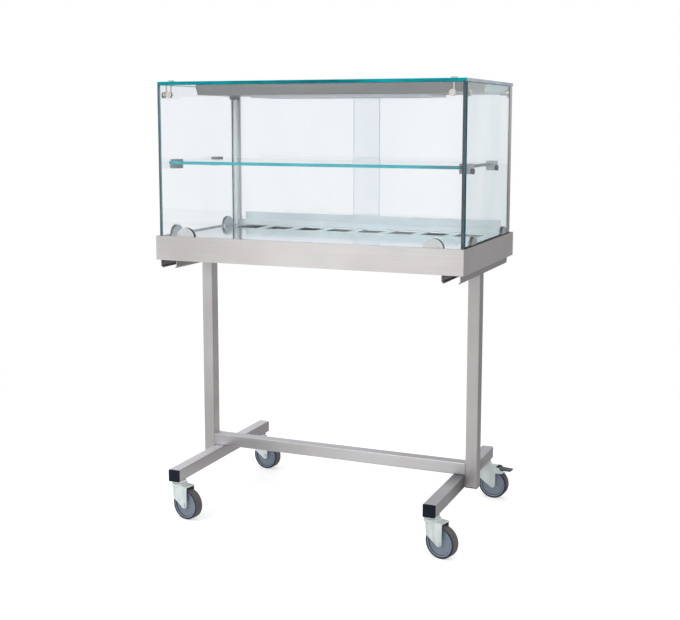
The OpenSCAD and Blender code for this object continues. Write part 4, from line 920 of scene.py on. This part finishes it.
def makeHubPattern(radius, width, bossWidth):
    step = hubValues
    hub = addRound("hubPattern", (0, 0, 0), up, radius, width, tyreValues["sides"])
    startEdit(hub)
    for out in (up, -up):
        pickFacing(hub, out)
        bpy.ops.mesh.inset(thickness=step["rim"])
        bpy.ops.mesh.inset(thickness=step["rimFoot"])
        bpy.ops.transform.translate(value=out * -step["dish"])
        bpy.ops.mesh.inset(thickness=radius - step["rim"] - step["rimFoot"] - step["collar"])
        bpy.ops.mesh.inset(thickness=step["collarFoot"])
        bpy.ops.transform.translate(value=out * step["collarRise"])
        bpy.ops.mesh.inset(thickness=step["collar"] - step["collarFoot"] - step["boss"])
        rise = (bossWidth - width) / 2 + step["dish"] - step["collarRise"]
        bpy.ops.mesh.extrude_region_move(TRANSFORM_OT_translate={"value": out * rise})
        bpy.ops.mesh.inset(thickness=step["boss"] - step["bore"])
        bpy.ops.mesh.delete(type="FACE")
    closeBore(hub)
    endEdit()
    roundEdges(hub, step["edge"], degrees=step["angle"])
    paint(hub, finishes["hub_plastic"])
    # Painted shade in the well inside the rim, and a painted highlight on the rim
    rimInside = radius - step["rim"]
    refinish(hub, hubWell, lambda face: offAxis(face.center) > rimInside - step["rimFoot"])
    refinish(hub, hubRim, lambda face: offAxis(face.center) > rimInside)
    return hub


def spanAlong(nodeName, axis):  # how far a node reaches along a direction
    node = cadNodes[nodeName]
    places = [(node.matrix_world @ vertex.co).dot(axis) for vertex in node.data.vertices]
    return max(places) - min(places)


def halfHeight(nodeName):
    low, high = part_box(nodeName)
    return (high.z - low.z) / 2


firstAxis = Vector(joints["roll_front_left"]["axis"]).normalized()
tyreRadius = halfHeight("caster_tyre_front_left")
tyreWidth = spanAlong("caster_tyre_front_left", firstAxis)
hubRadius = halfHeight("caster_wheel_front_left")
hubWidth = tyreWidth - 2 * hubValues["behindTyre"]
tyrePattern = makeTyrePattern(tyreRadius, tyreWidth, hubRadius)
hubPattern = makeHubPattern(hubRadius, hubWidth, spanAlong("caster_wheel_front_left", firstAxis))


# The forks are painted with shade between the legs and under the crown

forkShade = makeFinish("forkInside", {
    "light": (0.17, 0.19, 0.20), "dark": (0.11, 0.12, 0.13), "rough": (0.4, 0.55), "metal": 0.6,
    "grain": 200, "blotch": 25, "bump": 0.08})
forkGap = 0.003  # more than the space between a leg and the tyre


def shadeForkInside(fork, middle, axis):
    def isInside(face):
        across = (face.center - middle).dot(axis)
        isInner = abs(across) < tyreWidth / 2 + forkGap
        looksIn = face.normal.dot(axis) * across < -partlyOn * abs(across)
        isUnder = face.normal.z < -partlyOn and face.center.z > middle.z + tyreRadius
        return (isInner and looksIn) or isUnder

    refinish(fork, forkShade, isInside)


for corner in ("front_left", "front_right", "rear_left", "rear_right"):
    roll = joints["roll_" + corner]
    middle = Vector(roll["pos_m"])
    axis = Vector(roll["axis"]).normalized()
    tyreNode = "caster_tyre_" + corner
    hubNode = "caster_wheel_" + corner
    standFor(copyTo(tyrePattern, joinWords(tyreNode, "Ring"), placeAlong(middle, axis)), tyreNode)
    standFor(copyTo(hubPattern, joinWords(hubNode, "Hub"), placeAlong(middle, axis)), hubNode)
    shadeForkInside(eased["caster_fork_" + corner], middle, axis)
bpy.data.objects.remove(tyrePattern)
bpy.data.objects.remove(hubPattern)
print("wheels made")


# Weld seams where the posts meet the stretcher and the feet

weldMetal = makeFinish("weldSeam", {
    **tinted(steel, 0.9), "stretch": (700, 700, 700), "rough": (0.35, 0.55), "bump": 0.5,
    "relief": 0.0004})
weldValues = {
    "radius": 0.0011,
    "sides": 10,
    "cuts": 5,
    "endShare": 1 / 3,  # the rounding of its ends, as a share of its radius
    "angle": 60,  # degrees from which an edge is rounded
}


def makeWeld(name, start, end):
    radius = weldValues["radius"]
    seam = addRound(name, (start + end) / 2, end - start, radius, (end - start).length, weldValues["sides"])
    startEdit(seam)
    bpy.ops.mesh.select_all(action="SELECT")
    bpy.ops.mesh.subdivide(number_cuts=weldValues["cuts"])
    endEdit()
    roundEdges(seam, radius * weldValues["endShare"], degrees=weldValues["angle"])
    paint(seam, weldMetal)
    settle(seam, "frame", "satin_steel")


barLow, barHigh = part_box("stretcher")
for side in ("Left", "Right"):
    postLow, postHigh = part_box("post_" + side.lower())
    seamX = postHigh.x if side == "Left" else postLow.x
    for label, y in (("Front", postLow.y), ("Rear", postHigh.y)):
        foot, barFoot, barTop = [Vector((seamX, y, z)) for z in (postLow.z, barLow.z, barHigh.z)]
        makeWeld("stretcherWeld" + label + side, barFoot, barTop)
        makeWeld("footWeld" + label + side, foot, barFoot)
    topFront, topRear = [Vector((seamX, y, barHigh.z)) for y in (postLow.y, postHigh.y)]
    makeWeld("stretcherWeldTop" + side, topFront, topRear)
print("welds made")


# Scale around the thermostat knob, and the pointer on it

dialValues = {
    "ticks": 11,
    "turn": 270,
    "inner": 0.0165,
    "length": 0.0030,
    "pointerInner": 0.004,
    "pointerLength": 0.007,
    "width": 0.0007,
    "relief": 0.0003,
    "edgeShare": 1 / 6,  # the rounding of a tick's edges, as a share of its width
}
markWhite = makeFinish("markWhite", {
    "light": (0.80, 0.80, 0.78), "dark": (0.70, 0.70, 0.68), "rough": (0.5, 0.65),
    "grain": 600, "blotch": 80, "bump": 0.05})


def makeTickPattern(name, inner, length):  # points up, away from the dial's middle at the origin
    half = dialValues["width"] / 2
    tick = addBox(name, Vector((-half, 0, inner)), Vector((half, dialValues["relief"], inner + length)))
    roundEdges(tick, dialValues["width"] * dialValues["edgeShare"])
    return tick


def turnedAt(middle, degrees):
    return Matrix.Translation(middle) @ Matrix.Rotation(math.radians(degrees), 4, "Y")


def makeScale(middle):
    pattern = makeTickPattern("tickPattern", dialValues["inner"], dialValues["length"])
    steps = dialValues["ticks"] - 1
    shares = [index / steps - 0.5 for index in range(steps + 1)]  # of the turn, half to each side
    ticks = [copyTo(pattern, "dialScale", turnedAt(middle, dialValues["turn"] * share))
        for share in shares]
    bpy.data.objects.remove(pattern)
    makeActive(ticks[0])
    for tick in ticks:
        tick.select_set(True)
    bpy.ops.object.join()
    paint(ticks[0], markWhite)
    settle(ticks[0], "frame", "tray_white")


def makePointer(middle):
    pattern = makeTickPattern("pointerPattern", dialValues["pointerInner"], dialValues["pointerLength"])
    pointer = copyTo(pattern, "knobPointer", turnedAt(middle, -dialValues["turn"] / 2))
    bpy.data.objects.remove(pattern)
    paint(pointer, markWhite)
    settle(pointer, bodyOf["thermostat_knob"], "tray_white")


knobLow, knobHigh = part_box("thermostat_knob")
knobMiddle = (knobLow + knobHigh) / 2
makeScale(Vector((knobMiddle.x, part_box("base_skirt")[1].y, knobMiddle.z)))
makePointer(Vector((knobMiddle.x, knobHigh.y - dialValues["relief"], knobMiddle.z)))
print("dial made")


# Floor and sky

stageValues = {
    "floorSize": 60,
    "floorTone": (0.80, 0.80, 0.81),
    "floorGrain": 40,
    "grainTone": 0.985,  # how much darker the floor's grain is
    "floorRoughness": 0.9,
    "floorGloss": 0.1,
    "nearGlow": 0.47,  # light that the floor beside the cart gives off
    "nearReach": 0.9,
    "farReach": 2.4,
    "brightSide": (-0.85, -0.5, 0),  # towards this side the studio is brightest
    "glowReach": 0.8,  # where along that direction it is brightest, and dimmest the other way
    "brightest": 1.08,
    "dimmest": 0.38,
    "diffuseLight": 0.62,
}


def makeGlowGroup():  # how bright the studio is in a direction seen from the cart
    tree, given, result = makeGroup(
        "studioGlow", {"Direction": "NodeSocketVector"}, {"Glow": "NodeSocketFloat"})
    unit = addNode(tree, "ShaderNodeVectorMath", operation="NORMALIZE")
    tree.links.new(given.outputs["Direction"], unit.inputs[0])
    along = addNode(tree, "ShaderNodeVectorMath", operation="DOT_PRODUCT")
    tree.links.new(unit.outputs["Vector"], along.inputs[0])
    along.inputs[1].default_value = stageValues["brightSide"]
    reach = stageValues["glowReach"]
    tones = stageValues["dimmest"], stageValues["brightest"]
    tree.links.new(spread(tree, along.outputs["Value"], -reach, reach, *tones), result.inputs["Glow"])
    return tree


studioGlow = makeGlowGroup()


def addGlow(tree, direction):
    node = addNode(tree, "ShaderNodeGroup")
    node.node_tree = studioGlow
    tree.links.new(direction, node.inputs["Direction"])
    return node.outputs["Glow"]


def addRayMask(tree, *kinds):  # 1 for the given kinds of ray
    path = addNode(tree, "ShaderNodeLightPath")
    mask = path.outputs[kinds[0]]
    for kind in kinds[1:]:
        mask = addMath(tree, "MAXIMUM", mask, path.outputs[kind])
    return mask


def makeFloor():
    bpy.ops.object.select_all(action="DESELECT")
    bpy.ops.mesh.primitive_plane_add(size=stageValues["floorSize"], location=(0, 0, 0))
    floor = bpy.context.object
    floor.name = "studioFloor"
    material, tree, shader = startMaterial("palePaper")
    place = addPlace(tree)
    grain = addNoise(tree, place, stageValues["floorGrain"])
    tone = stageValues["floorTone"]
    deeper = tuple(part * stageValues["grainTone"] for part in tone)
    tree.links.new(mixColour(tree, grain, deeper, tone), shader.inputs["Base Color"])
    shader.inputs["Roughness"].default_value = stageValues["floorRoughness"]
    shader.inputs["Specular IOR Level"].default_value = stageValues["floorGloss"]
    shader.inputs["Emission Color"].default_value = (1, 1, 1, 1)
    seen = addRayMask(tree, "Is Camera Ray", "Is Transmission Ray")
    nearLight = addMath(tree, "MULTIPLY", seen, stageValues["nearGlow"])
    tree.links.new(nearLight, shader.inputs["Emission Strength"])
    # In metal, and to the eye far from the cart, the floor is as bright as the sky above it
    farLight = addNode(tree, "ShaderNodeEmission")
    brighter = addMath(tree, "MAXIMUM", seen, addGlow(tree, place))
    tree.links.new(brighter, farLight.inputs["Strength"])
    distance = addNode(tree, "ShaderNodeVectorMath", operation="LENGTH")
    tree.links.new(place, distance.inputs[0])
    faraway = spread(tree, distance.outputs["Value"], stageValues["nearReach"], stageValues["farReach"])
    farSeen = addMath(tree, "MULTIPLY", faraway, seen)
    share = addMath(tree, "MAXIMUM", farSeen, addRayMask(tree, "Is Glossy Ray"))
    endWithMix(tree, share, shader.outputs["BSDF"], farLight.outputs["Emission"])
    paint(floor, material)


def makeSky():  # white to the eye and through glass, graded in metal, dimmer as a light
    world = bpy.data.worlds.new("studio")
    bpy.context.scene.world = world
    world.use_nodes = True
    tree = world.node_tree
    sky = tree.nodes["Background"]
    sky.inputs["Color"].default_value = (1, 1, 1, 1)
    direction = addNode(tree, "ShaderNodeTexCoord").outputs["Generated"]
    glow = addMath(tree, "MULTIPLY", addRayMask(tree, "Is Glossy Ray"), addGlow(tree, direction))
    seen = addRayMask(tree, "Is Camera Ray", "Is Transmission Ray")
    brighter = addMath(tree, "MAXIMUM", glow, seen)
    brightest = addMath(tree, "MAXIMUM", brighter, stageValues["diffuseLight"])
    tree.links.new(brightest, sky.inputs["Strength"])


# Lamps

lampAim = (0, 0, 0.9)
lampValues = {
    "keyLamp": {"place": (-2.3, -3.0, 3.7), "size": 2.8, "power": 70},
    "fillLamp": {"place": (2.8, -2.6, 2.2), "size": 2.0, "power": 50,
        "mirrored": False},  # its mirror image would whiten every flat top seen from behind
    "topLamp": {"place": (0, 0.6, 3.4), "size": 3.2, "power": 14},
    "ventLamp": {"place": (0, -0.05, 0.895), "size": 0.9, "height": 0.02, "power": 0.09,
        "aim": (0, 1, 0.9)},
}


def makeLamp(name, values):  # square, unless its values give a height
    light = bpy.data.lights.new(name, "AREA")
    light.energy = values["power"]
    light.size = values["size"]
    if "height" in values:
        light.shape = "RECTANGLE"
        light.size_y = values["height"]
    lamp = bpy.data.objects.new(name, light)
    bpy.context.scene.collection.objects.link(lamp)
    lamp.location = values["place"]
    aim = Vector(values.get("aim", lampAim))
    lamp.rotation_euler = (aim - lamp.location).to_track_quat("-Z", "Y").to_euler()
    lamp.visible_camera = False
    lamp.visible_glossy = values.get("mirrored", True)


# Camera

cameraValues = {
    "place": (1.4324, -3.4295, 1.3056),
    "heading": (-0.379115, 0.915725, -0.133112),
    "roll": 0.05,
    "lens": 59.75,
    "sensor": 36,
    "shiftY": -0.0568,
}


def makeCamera():
    camera = bpy.data.objects.new("camera", bpy.data.cameras.new("camera"))
    bpy.context.scene.collection.objects.link(camera)
    aim = Vector(cameraValues["heading"]).to_track_quat("-Z", "Y").to_matrix().to_4x4()
    roll = Matrix.Rotation(math.radians(cameraValues["roll"]), 4, "Z")
    camera.matrix_world = Matrix.Translation(cameraValues["place"]) @ aim @ roll
    camera.data.lens = cameraValues["lens"]
    camera.data.sensor_width = cameraValues["sensor"]
    camera.data.shift_y = cameraValues["shiftY"]
    bpy.context.scene.camera = camera


makeFloor()
makeSky()
for lampName, lampSettings in lampValues.items():
    makeLamp(lampName, lampSettings)
makeCamera()
bpy.context.scene.view_settings.view_transform = "Standard"
print("stage set")
